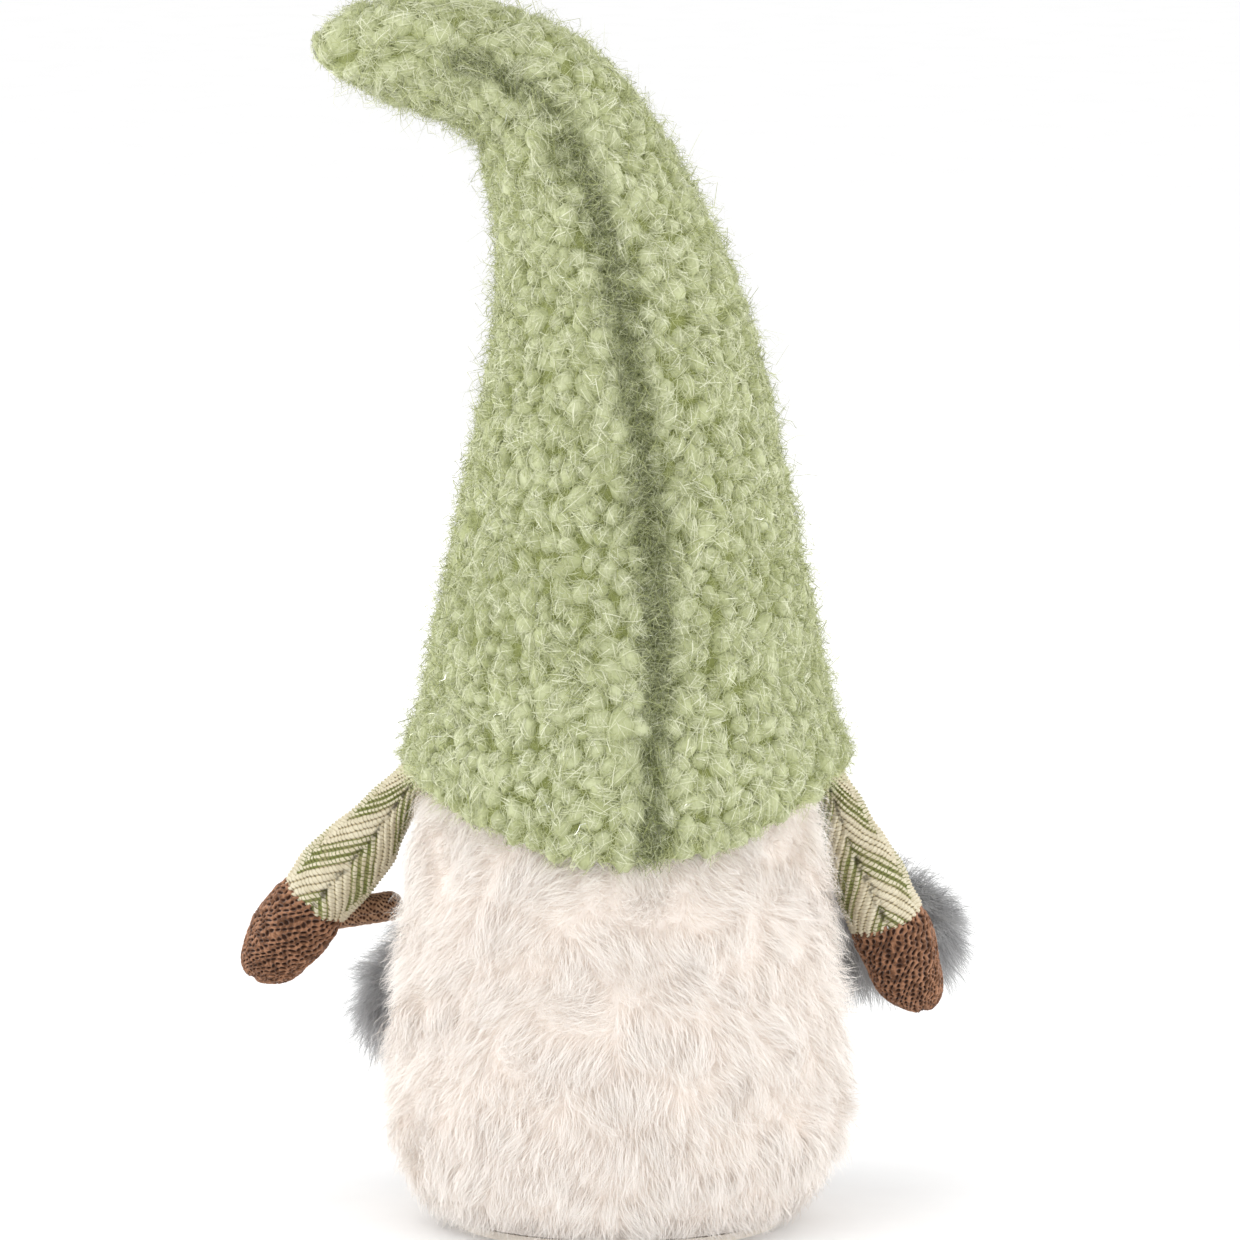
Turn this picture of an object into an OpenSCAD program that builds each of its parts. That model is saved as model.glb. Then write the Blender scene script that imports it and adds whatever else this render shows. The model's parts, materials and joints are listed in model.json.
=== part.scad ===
/* [Body] */
// Radius of the widest part of the body
body_r = 65.5; // [58:0.5:74]
// Height of the widest part above the table
belly_z = 34; // [26:1:42]
// Radius of the flat bottom
base_r = 46; // [38:1:52]
// How much smaller the body's radius is where the arms are sewn on
shoulder_taper = 9; // [7:0.5:13]
// Height where the body starts to close over
shoulder_z = 122; // [114:1:128]
// Height of the closed top of the body, inside the hat
body_top_z = 150; // [140:1:156]
// Thickness of the fur fabric with its pile
fur_t = 6; // [4:0.5:8]

/* [Base] */
// Thickness of the bottom cloth
base_cloth_t = 2; // [1:0.5:3]
// Thickness of the cardboard disc
board_t = 1.5; // [1:0.5:3]
// Radius of the pellet bag
bag_r = 40; // [30:1:42]
// Height of the pellet bag
bag_h = 20; // [12:1:26]

/* [Hat] */
// How far the hem flares out beyond the cone
hem_flare = 7; // [6:0.5:12]
// Height of the hem at the sides
hem_z = 131; // [128:1:136]
// How far the hem dips at the back
hem_back_drop = 20; // [0:1:24]
// How far the hem dips at the front
hem_front_drop = 6; // [0:1:8]
// Extra roundness halfway up the cone
cone_bulge = 0.8; // [0:0.2:3]
// Thickness of the hat fabric with its pile
hat_t = 4; // [3:0.5:5]
// Radius of the hat at the bend
elbow_r = 22.5; // [20:0.5:27]
// Sideways place of the bend
elbow_x = 18; // [10:1:26]
// Height of the bend
elbow_z = 312; // [296:1:330]
// Sideways lean of the cone below the bend
lean_x = -2.5; // [-6:0.5:4]
// Sideways reach of the tip's centre line from the bend
tip_reach = 64; // [52:1:70]
// Rise of the tip's end above the bend
tip_rise = 19; // [8:1:24]
// Radius of the tip near its end
tip_r = 16; // [12:0.5:20]
// Angle that the tip can be bent up from rest
tip_up_deg = 45; // [10:5:50]
// Angle that the tip can be bent down from rest
tip_down_deg = 35; // [10:5:40]
// Diameter of the shaping wire
wire_d = 2; // [1.5:0.5:3]

/* [Arms] */
// How much closer to the body than the sleeve's radius the shoulder is sewn
arm_sink = 6.1; // [3:0.1:6.3]
// Distance of the shoulder in front of the middle
arm_front = 14; // [8:1:18]
// Height of the shoulder
arm_z = 119; // [112:1:121]
// Length of the sleeve
sleeve_len = 40; // [34:1:46]
// Length of the mitten below the cuff
mitten_len = 28; // [22:1:34]
// Radius of the sleeve at the cuff
sleeve_r = 10.6; // [8:0.2:12]
// Radius of the widest part of the mitten
mitten_r = 10.8; // [8:0.2:12]
// Half thickness of the sleeve where it is sewn flat
shoulder_half_t = 3; // [2:0.5:4]
// Half width of the sewn end, front to back
shoulder_half_w = 8; // [5:0.5:10]
// Thickness of the sleeve cloth
sleeve_t = 1.6; // [1:0.2:2.4]
// Thickness of the knitting
knit_t = 2.4; // [1.6:0.2:3]
// Rest angle of the left arm, out from straight down
left_rest_deg = 38; // [30:1:60]
// Rest angle of the right arm, out from straight down
right_rest_deg = 22; // [20:1:45]
// Forward lean of both arms
arm_lean_deg = 6; // [0:1:8]
// Diameter of the thumb
thumb_d = 8.6; // [6:0.2:10]
// Length of the thumb from the middle of the mitten
thumb_len = 30; // [20:1:33]

/* [Face] */
// Radius of the nose
nose_r = 15; // [10:0.5:16]
// Height of the middle of the nose
nose_z = 106; // [98:1:108]
// How far the middle of the nose stands out from the body's widest part
nose_out = 3.5; // [0.5:0.5:6.5]
// Thickness of the nose cloth
nose_t = 1.5; // [1:0.5:2]
// Radius of the whisker lobes at their thickest
lobe_r = 15.5; // [11:0.5:17]
// Height of the whisker lobes at the middle of the face
lobe_root_z = 85; // [82:1:90]
// Sideways reach of the left lobe's centre line
left_lobe_reach = 66; // [56:1:72]
// Height of the left lobe's end
left_lobe_end_z = 53; // [46:1:70]
// Sideways reach of the right lobe's centre line
right_lobe_reach = 91; // [76:1:94]
// Height of the right lobe's end
right_lobe_end_z = 76; // [58:1:80]
// Height of the beard's lowest point
beard_low_z = 28; // [20:1:40]
// Height of the beard's top edge, below the lobes
beard_top_z = 64; // [56:1:66]
// Half angle that the beard spans round the body
beard_half_deg = 24; // [16:1:30]
// Thickness of the beard's fur
beard_t = 12; // [8:1:16]

/* [Clearances] */
// Gap left between soft pieces that lie against each other
gap = 0.3; // [0.3:0.1:0.5]
// Gap between the two halves of the hat at the bend
bend_gap = 0.5; // [0.4:0.1:0.8]

/* [Hidden] */

$fn = 72;
STEPS = 12;               // straight pieces along each stretch of an outline
SIDES = 28;               // sides of a lofted soft solid
HEM_ROLL = 0.12;          // share of the cone's height taken by the hem's flare
BEND_START = 0.45;        // share of the cone's height where the lean begins
BEND_POWER = 2.6;         // how sharply the lean grows towards the bend
LINING_TOP = 0.95;        // share of the cone's height where the lining's rings stop
WIRE_TOP = 0.97;          // share of the cone's height where the lower wire stops
WIRE_FOOT = 4.5;          // height of the lower wire's foot above the body
PLANE = 400;              // size of a cutting block, larger than the object
EPS = 0.01;
shoulder_r = body_r - shoulder_taper;
cone_r = shoulder_r;
hem_r = cone_r + hem_flare;
arm_x = shoulder_r + sleeve_r - arm_sink;
nose_front = body_r + nose_out;
board_z = base_cloth_t + gap;
bag_z = board_z + board_t + gap;
ball_r = elbow_r - hat_t;
cup_r = ball_r + bend_gap;
rim_back = 2 * bend_gap;  // the cone's upper rim stands this far back from the bend
lining_back = rim_back + hat_t;

function lerp(a, b, t) = a + (b - a) * t;
function unit(v) = v / norm(v);
function steps(n) = [for (i = [0:n]) i / n];

/* ---- outlines turned about the upright axis ---- */

// Half outline of the body as [radius, height], from the flat bottom to the top
body_curve = concat(
  [for (u = steps(STEPS)) [lerp(base_r, body_r, sin(90 * u)), belly_z * (1 - cos(90 * u))]],
  [for (u = steps(STEPS)) if (u > 0)
    [lerp(shoulder_r, body_r, cos(90 * u)), lerp(belly_z, shoulder_z, u)]],
  [for (u = steps(STEPS)) if (u > 0)
    [shoulder_r * cos(90 * u), lerp(shoulder_z, body_top_z, sin(90 * u))]]);

// Radius of the body's outline at height z, below the shoulders
function body_rad(z) = z < belly_z ? body_r
  : lerp(shoulder_r, body_r, cos(90 * (z - belly_z) / (shoulder_z - belly_z)));

// The same outline moved inwards by d, square to itself
function inset(curve, d) = [for (i = [0:len(curve) - 1])
  let (a = curve[max(i - 1, 0)], b = curve[min(i + 1, len(curve) - 1)], t = unit(b - a))
  i == 0 ? [curve[0].x, curve[0].y + d] :
  i == len(curve) - 1 ? [0, curve[i].y - d] : curve[i] + d * [-t.y, t.x]];

function reversed(list) = [for (i = [len(list) - 1:-1:0]) list[i]];

module body_solid(grow = 0) {
  outline = inset(body_curve, -grow);
  rotate_extrude() polygon(concat([[0, outline[0].y]], outline));
}

module bag_solid(grow = 0) {
  half = bag_h / 2 + grow;
  rotate_extrude() polygon([for (a = [-90:10:90])
    [(bag_r + grow) * pow(max(cos(a), 0), 0.5), bag_z + bag_h / 2 + half * sin(a)]]);
}

/* ---- solids lofted through rings of points ---- */

module loft(rings) {
  n = len(rings[0]);
  last = len(rings) - 1;
  polyhedron(
    points = [for (ring = rings) each ring],
    faces = concat(
      [[for (j = [0:n - 1]) j]],
      [for (i = [0:last - 1]) for (j = [0:n - 1]) each [
        [i * n + j, (i + 1) * n + j, (i + 1) * n + (j + 1) % n],
        [i * n + j, (i + 1) * n + (j + 1) % n, i * n + (j + 1) % n]]],
      [[for (j = [n - 1:-1:0]) last * n + j]]));
}

// A ring about a point of a centre line that lies in the X-Z plane and leans by deg
function flat_ring(c, deg, r) = [for (j = [0:SIDES - 1])
  let (a = 360 * j / SIDES)
  [c.x + r * cos(a) * cos(deg), r * sin(a), c.y - r * cos(a) * sin(deg)]];

/* ---- the hat ---- */

// Centre line and radius from the hem, u = 0, to the bend, u = 1
function cone_c(u) = [
  lerp(lean_x, elbow_x, pow(max(u - BEND_START, 0) / (1 - BEND_START), BEND_POWER)),
  lerp(hem_z, elbow_z, u)];
function cone_deg(u) = let (d = cone_c(min(u + 0.02, 1)) - cone_c(max(u - 0.02, 0))) atan2(d.x, d.y);
function cone_rad(u) = u < HEM_ROLL
  ? lerp(hem_r, cone_r, (1 - cos(180 * u / HEM_ROLL)) / 2)
  : let (t = (u - HEM_ROLL) / (1 - HEM_ROLL)) lerp(cone_r, elbow_r, t) + cone_bulge * sin(180 * t);

// Height of the hem all round: a is 90 at the back and -90 at the front
function hem_drop(a) = sin(a) > 0 ? hem_back_drop * pow(sin(a), 2) : hem_front_drop * pow(sin(a), 2);
function hem_ring(r) = [for (j = [0:SIDES - 1])
  let (a = 360 * j / SIDES)
  [cone_c(0).x + r * cos(a), r * sin(a), hem_z - hem_drop(a)]];

cone_steps = [for (u = [0.03:0.045:0.98]) u];

// Rings of the cone, thinner all round, above a height and below a share of its length
function cone_rings(thin, from_z, to_u) = [for (u = cone_steps)
  if (cone_c(u).y > from_z && u < to_u) flat_ring(cone_c(u), cone_deg(u), cone_rad(u) - thin)];

elbow_deg = cone_deg(1);
elbow_dir = [sin(elbow_deg), cos(elbow_deg)];

// Centre line of the tip, v = 0 at the bend and 1 at the end
tip_hold = 12;            // length of the handles of the tip's curve
tip_points = [
  [elbow_x, elbow_z],
  [elbow_x, elbow_z] + tip_hold * elbow_dir,
  [elbow_x + tip_reach / 2, elbow_z + tip_rise + 2],
  [elbow_x + tip_reach, elbow_z + tip_rise]];
function bezier(p, v) = pow(1 - v, 3) * p[0] + 3 * v * pow(1 - v, 2) * p[1]
  + 3 * v * v * (1 - v) * p[2] + pow(v, 3) * p[3];
function tip_c(v) = bezier(tip_points, v);
function tip_deg(v) = let (d = tip_c(min(v + 0.02, 1)) - tip_c(max(v - 0.02, 0))) atan2(d.x, d.y);
function tip_rad(v) = lerp(elbow_r, tip_r, pow(v, 0.7)) * sqrt(1 - pow(v, 6));

module tip_loft(thin) {
  stop = 1 - thin / tip_reach;
  loft([for (v = concat([for (v = [0:0.07:0.85]) v], [0.91, 0.96, 0.985])) let (w = v * stop)
    flat_ring(tip_c(w), tip_deg(w), max(tip_rad(v) - thin, 0.8))]);
}

module elbow_ball(r) {
  translate([elbow_x, 0, elbow_z]) sphere(r);
}

// Everything ahead of a plane that leans by deg from level, back by some distance from the bend
module ahead_of(deg, back = 0) {
  translate([elbow_x, 0, elbow_z]) rotate([0, deg, 0])
    translate([-PLANE / 2, -PLANE / 2, -back]) cube(PLANE);
}

module tip_space(thin) {
  intersection() {
    tip_loft(thin);
    ahead_of(elbow_deg - tip_down_deg - 1);
    ahead_of(elbow_deg + tip_up_deg + 1);
  }
}

module tube(points, r) {
  sides = 8;
  loft([for (i = [0:len(points) - 1])
    let (d = points[min(i + 1, len(points) - 1)] - points[max(i - 1, 0)], deg = atan2(d.x, d.y))
    [for (j = [0:sides - 1]) let (a = 360 * j / sides)
      [points[i].x + r * cos(a) * cos(deg), r * sin(a), points[i].y - r * cos(a) * sin(deg)]]]);
}

module wire_lower_solid(r) {
  foot = (body_top_z + WIRE_FOOT - hem_z) / (elbow_z - hem_z);
  tube([for (u = steps(18)) cone_c(lerp(foot, WIRE_TOP, u))], r);
}

module wire_tip_solid(r) {
  tube([for (v = [0.3:0.04:0.88]) if (norm(tip_c(v) - tip_c(0)) > cup_r + wire_d) tip_c(v)], r);
}

// Rings of a ball about the bend, from a flat set back from its middle up to its pole
function dome_rings(r, back) = [for (u = steps(8)) let (a = lerp(-asin(back / r), 88, u))
  flat_ring([elbow_x, elbow_z] + r * sin(a) * elbow_dir, elbow_deg, r * cos(a))];
function rim_ring(r, back) = flat_ring([elbow_x, elbow_z] - back * elbow_dir, elbow_deg, r);

// One skin: from the pole inside, down the lining, round the hem, up the outside to the dome
module hat_lower() {
  color([0.73, 0.75, 0.57]) loft(concat(
    reversed(dome_rings(ball_r - hat_t, lining_back)),
    [rim_ring(elbow_r - hat_t, lining_back)],
    reversed(cone_rings(hat_t, hem_z, LINING_TOP)),
    [hem_ring(hem_r - hat_t)],
    [hem_ring(hem_r)],
    cone_rings(0, hem_z, 1),
    [rim_ring(elbow_r, rim_back)],
    dome_rings(ball_r, rim_back)));
}

module hat_stuffing_lower() {
  thin = hat_t + gap;
  color([0.95, 0.95, 0.93]) difference() {
    loft(concat(
      cone_rings(thin, body_top_z + gap, LINING_TOP),
      [rim_ring(elbow_r - thin, lining_back + gap)],
      dome_rings(ball_r - thin, lining_back + gap)));
    wire_lower_solid(wire_d / 2 + gap);
  }
}

module hat_wire_lower() {
  color([0.6, 0.6, 0.62]) wire_lower_solid(wire_d / 2);
}

module hat_tip() {
  color([0.7, 0.73, 0.54]) difference() {
    tip_space(0);
    tip_loft(hat_t);
    elbow_ball(cup_r);
  }
}

module hat_stuffing_tip() {
  color([0.95, 0.95, 0.93]) difference() {
    tip_space(hat_t + gap);
    elbow_ball(cup_r);
    wire_tip_solid(wire_d / 2 + gap);
  }
}

module hat_wire_tip() {
  color([0.6, 0.6, 0.62]) wire_tip_solid(wire_d / 2);
}

/* ---- the body ---- */

module base_panel() {
  color([0.9, 0.86, 0.8]) cylinder(r = base_r - gap, h = base_cloth_t);
}

module base_board() {
  color([0.72, 0.6, 0.45]) translate([0, 0, board_z]) cylinder(r = base_r - 2 * gap, h = board_t);
}

module weight_bag() {
  color([0.8, 0.8, 0.78]) bag_solid();
}

module body_skin() {
  color([0.95, 0.92, 0.89]) rotate_extrude()
    polygon(concat(body_curve, reversed(inset(body_curve, fur_t))));
}

module body_stuffing() {
  outline = inset(body_curve, fur_t + gap);
  color([0.95, 0.95, 0.93]) difference() {
    rotate_extrude() polygon(concat([[0, outline[0].y]], outline));
    bag_solid(gap);
  }
}

/* ---- the arms: built hanging down from the shoulder, then turned to rest ---- */

// Half size at distance s below the shoulder, across (k = 0) and front to back (k = 1)
function sleeve_half(s, k) = let (t = min(s / (0.8 * sleeve_len), 1))
  lerp([shoulder_half_t, shoulder_half_w][k], sleeve_r, sin(90 * t));
function mitten_half(s) = let (t = s / mitten_len)
  lerp(sleeve_r, mitten_r, min(t * 3, 1)) * sqrt(1 - pow(t, 3.2));
function arm_ring(s, half) = [for (j = [0:SIDES - 1]) let (a = 360 * j / SIDES)
  [half[0] * cos(a), -half[1] * sin(a), -s]];

module sleeve_loft(thin, from, to) {
  loft([for (u = steps(10)) let (s = lerp(from, to, u))
    arm_ring(s, [sleeve_half(s, 0) - thin, sleeve_half(s, 1) - thin])]);
}

module mitten_loft(thin, from) {
  start = sleeve_len + gap;
  stop = mitten_len - thin;
  loft([for (u = concat([for (i = [0:8]) i / 10], [0.87, 0.93, 0.97, 0.99]))
    let (r = max(mitten_half(u * mitten_len) - thin, 0.6))
    arm_ring(start + lerp(from, stop, u), [r, r])]);
}

// side is 1 for the left arm and -1 for the right arm
module at_rest(side) {
  rest = side > 0 ? left_rest_deg : right_rest_deg;
  translate([side * arm_x, -arm_front, arm_z])
    rotate([0, -side * rest, 0]) rotate([-arm_lean_deg, 0, 0]) children();
}

module sleeve(side) {
  color([0.66, 0.65, 0.5]) at_rest(side) difference() {
    sleeve_loft(0, 0, sleeve_len);
    sleeve_loft(sleeve_t, sleeve_t, sleeve_len + 1);
  }
}

module mitten(side) {
  color([0.46, 0.34, 0.26]) at_rest(side) difference() {
    mitten_loft(0, 0);
    mitten_loft(knit_t, -1);
  }
}

module arm_stuffing(side) {
  color([0.95, 0.95, 0.93]) at_rest(side) {
    sleeve_loft(sleeve_t + gap, sleeve_t + gap, sleeve_len);
    mitten_loft(knit_t + gap, -gap - EPS);
  }
}

// The thumb leaves the mitten below the cuff and points inwards and forwards
thumb_s = sleeve_len + 7;  // its place along the arm
module thumb(side) {
  turn = side > 0 ? 26 : 62;
  rise = side > 0 ? 50 : 40;
  color([0.43, 0.31, 0.24]) at_rest(side) difference() {
    translate([0, 0, -thumb_s]) rotate([0, 0, side > 0 ? 180 + turn : -turn]) rotate([0, rise, 0]) {
      cylinder(d = thumb_d, h = thumb_len - thumb_d / 2);
      translate([0, 0, thumb_len - thumb_d / 2]) sphere(d = thumb_d);
    }
    mitten_loft(-gap, 0);
    sleeve_loft(-gap, sleeve_len - 15, sleeve_len + gap + EPS);
  }
}

module left_sleeve() { sleeve(1); }
module left_mitten() { mitten(1); }
module left_thumb() { thumb(1); }
module left_arm_stuffing() { arm_stuffing(1); }
module right_sleeve() { sleeve(-1); }
module right_mitten() { mitten(-1); }
module right_thumb() { thumb(-1); }
module right_arm_stuffing() { arm_stuffing(-1); }

/* ---- the face, on the front (-Y) side ---- */

// A round nose with a flat back that lies against the body, turned about a line to the front
nose_back = body_rad(nose_z - nose_r) + gap;
function nose_outline(thin) = let (r = nose_r - thin, back = nose_back + thin,
  start = asin((back - nose_front) / r))
  [for (u = steps(STEPS)) let (a = lerp(start, 90, u)) [r * cos(a), nose_front + r * sin(a)]];

module nose_turned(outline) {
  translate([0, 0, nose_z]) rotate([90, 0, 0]) rotate_extrude() polygon(outline);
}

module nose_cover() {
  outer = nose_outline(0);
  inner = nose_outline(nose_t);
  color([0.87, 0.72, 0.6]) nose_turned(concat([[0, outer[0].y]], outer, reversed(inner), [[0, inner[0].y]]));
}

module nose_stuffing() {
  outline = nose_outline(nose_t + gap);
  color([0.95, 0.95, 0.93]) nose_turned(concat([[0, outline[0].y]], outline));
}

// Rings about a centre line of 3-D points, each square to the X-Y run of the line
module lobe_solid(side, grow = 0) {
  reach = side > 0 ? left_lobe_reach : right_lobe_reach;
  end_z = side > 0 ? left_lobe_end_z : right_lobe_end_z;
  line = [
    [side * 5, -nose_front - 3, lobe_root_z],
    [side * reach * 0.42, -body_r - 0.5, lerp(lobe_root_z, end_z, 0.3)],
    [side * reach * 0.85, 7.5 - body_r, lerp(lobe_root_z, end_z, 0.75)],
    [side * reach, 13.5 - body_r, end_z]];
  loft([for (u = concat([0.02], [for (i = [1:9]) i / 10], [0.95, 0.985]))
    let (c = bezier(line, u), d = unit(bezier(line, min(u + 0.02, 1)) - bezier(line, max(u - 0.02, 0))),
      across = unit(cross(d, [0, 0, 1])), up = cross(across, d),
      r = lobe_r * pow(sin(180 * lerp(0.13, 0.985, u)), 0.55) + grow)
    [for (j = [0:SIDES - 1]) let (a = -side * 360 * j / SIDES)
      c + r * cos(a) * across + 1.1 * r * sin(a) * up]]);
}

module whisker(side) {
  color([0.6, 0.6, 0.6]) difference() {
    lobe_solid(side);
    body_solid(gap);
    translate([0, -nose_front, nose_z]) sphere(nose_r + gap);
    translate([side > 0 ? gap / 2 - PLANE : -gap / 2, -PLANE / 2, 0]) cube(PLANE);
  }
}

module left_whisker() { whisker(1); }
module right_whisker() { whisker(-1); }

// A level section of the beard at height z: an arc of the body's curve with rounded edges
function beard_ring(z, half_deg) = let (n = 10, r = body_rad(z) + gap)
  concat(
    [for (i = [-n:n]) let (a = -90 + half_deg * i / n, t = beard_t * sqrt(1.02 - pow(i / n, 2)))
      [(r + t) * cos(a), (r + t) * sin(a), z]],
    [for (i = [n:-1:-n]) let (a = -90 + half_deg * i / n) [r * cos(a), r * sin(a), z]]);

module beard_panel() {
  color([0.58, 0.58, 0.58]) loft([for (u = concat([0], [for (i = [1:8]) (i - 0.5) / 8], [1]))
    beard_ring(lerp(beard_low_z, beard_top_z, u), beard_half_deg * pow(sin(lerp(4, 172, u)), 0.6))]);
}

base_panel();
base_board();
weight_bag();
body_skin();
body_stuffing();
hat_lower();
hat_stuffing_lower();
hat_wire_lower();
hat_tip();
hat_stuffing_tip();
hat_wire_tip();
left_sleeve();
left_mitten();
left_thumb();
left_arm_stuffing();
right_sleeve();
right_mitten();
right_thumb();
right_arm_stuffing();
nose_cover();
nose_stuffing();
beard_panel();
left_whisker();
right_whisker();
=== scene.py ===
"""A stuffed gnome: looped-pile hat, long cream fur, herringbone sleeves, knitted mittens and grey whiskers.

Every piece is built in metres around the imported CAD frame. The gnome's front is -Y and its back is +Y.
"""
import json
import logging
import math
from dataclasses import dataclass, field
from enum import Enum

import bpy
import numpy as np
from mathutils import Matrix, Vector, kdtree

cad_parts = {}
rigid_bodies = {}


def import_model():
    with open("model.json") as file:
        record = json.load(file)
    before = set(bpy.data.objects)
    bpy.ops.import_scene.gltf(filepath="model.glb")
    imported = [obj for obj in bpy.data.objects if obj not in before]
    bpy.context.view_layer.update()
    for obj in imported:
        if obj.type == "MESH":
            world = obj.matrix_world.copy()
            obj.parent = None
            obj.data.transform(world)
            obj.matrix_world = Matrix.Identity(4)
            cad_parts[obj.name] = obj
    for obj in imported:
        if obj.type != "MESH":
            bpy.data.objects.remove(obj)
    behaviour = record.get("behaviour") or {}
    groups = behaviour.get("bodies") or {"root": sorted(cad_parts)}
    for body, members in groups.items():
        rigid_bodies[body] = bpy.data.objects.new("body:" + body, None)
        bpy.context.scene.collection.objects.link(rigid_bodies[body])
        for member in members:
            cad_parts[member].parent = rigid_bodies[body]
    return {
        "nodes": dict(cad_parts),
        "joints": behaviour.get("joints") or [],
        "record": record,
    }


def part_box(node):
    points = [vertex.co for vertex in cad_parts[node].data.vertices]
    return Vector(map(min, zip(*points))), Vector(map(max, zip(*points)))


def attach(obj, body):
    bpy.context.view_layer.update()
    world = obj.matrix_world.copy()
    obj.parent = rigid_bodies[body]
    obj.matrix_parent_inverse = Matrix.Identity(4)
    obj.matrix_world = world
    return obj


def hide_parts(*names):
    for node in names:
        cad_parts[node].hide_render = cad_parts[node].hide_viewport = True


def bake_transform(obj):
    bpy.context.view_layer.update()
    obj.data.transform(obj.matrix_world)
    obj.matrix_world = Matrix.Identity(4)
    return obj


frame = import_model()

log = logging.getLogger("gnome")
MM = 0.001
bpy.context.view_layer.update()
Array = np.ndarray
Colour = tuple[float, float, float]


class Slot(Enum):
    """The record's material slots."""

    CREAM_FUR = "cream_fur"
    GREEN_PILE = "green_pile"
    HERRINGBONE = "herringbone"
    BROWN_KNIT = "brown_knit"
    GREY_FUR = "grey_fur"
    NOSE_CLOTH = "nose_cloth"
    BASE_CLOTH = "base_cloth"
    FILL = "fill"
    BOARD = "board"
    PELLETS = "pellets"
    WIRE = "wire"


class Side(Enum):
    """Which arm, as the sign of its X."""

    LEFT = 1
    RIGHT = -1


# ---------------------------------------------------------------- shader expressions


class Sock:
    """One shader value that can be used in Python expressions."""

    def __init__(self, graph: "Graph", socket: bpy.types.NodeSocket) -> None:
        """Wraps a socket of a graph."""
        self.graph = graph
        self.socket = socket

    def maths(self, operation: str, *others: "Sock | float") -> "Sock":
        """A Math node on this value and others.

        Args:
            operation: the Math node's operation.
            others: the further inputs, in order.

        Returns:
            The node's result.
        """
        values = {i: v for i, v in enumerate((self, *others))}
        node = self.graph.node("ShaderNodeMath", {"operation": operation}, values)
        return Sock(self.graph, node.outputs[0])

    def flipped(self, operation: str, other: float) -> "Sock":
        """A Math node with a number first and this value second."""
        node = self.graph.node("ShaderNodeMath", {"operation": operation}, {0: other, 1: self})
        return Sock(self.graph, node.outputs[0])

    def __add__(self, other: "Sock | float") -> "Sock":
        """Sum."""
        return self.maths("ADD", other)

    def __radd__(self, other: float) -> "Sock":
        """Sum with a number first."""
        return self.maths("ADD", other)

    def __sub__(self, other: "Sock | float") -> "Sock":
        """Difference."""
        return self.maths("SUBTRACT", other)

    def __rsub__(self, other: float) -> "Sock":
        """Difference with a number first."""
        return self.flipped("SUBTRACT", other)

    def __mul__(self, other: "Sock | float") -> "Sock":
        """Product."""
        return self.maths("MULTIPLY", other)

    def __rmul__(self, other: float) -> "Sock":
        """Product with a number first."""
        return self.maths("MULTIPLY", other)


def m_sin(x: "Sock | Array") -> "Sock | Array":
    """Sine of a shader value or of an array."""
    return x.maths("SINE") if isinstance(x, Sock) else np.sin(x)


def m_abs(x: "Sock | Array") -> "Sock | Array":
    """Absolute value."""
    return x.maths("ABSOLUTE") if isinstance(x, Sock) else np.abs(x)


def m_fract(x: "Sock | Array") -> "Sock | Array":
    """Fractional part."""
    return x.maths("FRACT") if isinstance(x, Sock) else x - np.floor(x)


def m_floor(x: "Sock | Array") -> "Sock | Array":
    """Whole part."""
    return x.maths("FLOOR") if isinstance(x, Sock) else np.floor(x)


def m_ramp(x: "Sock | Array", low: float, high: float) -> "Sock | Array":
    """A smooth step.

    Args:
        x: a shader value or an array.
        low: where the step is 0.
        high: where it is 1.

    Returns:
        From 0 to 1, of x's own kind.
    """
    if isinstance(x, Sock):
        t = x.graph.node("ShaderNodeMapRange", {"interpolation_type": "SMOOTHSTEP"},
                         {"Value": x, "From Min": low, "From Max": high})
        return Sock(x.graph, t.outputs["Result"])
    t = np.clip((x - low) / (high - low), 0, 1)
    return t * t * (3 - 2 * t)


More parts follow.
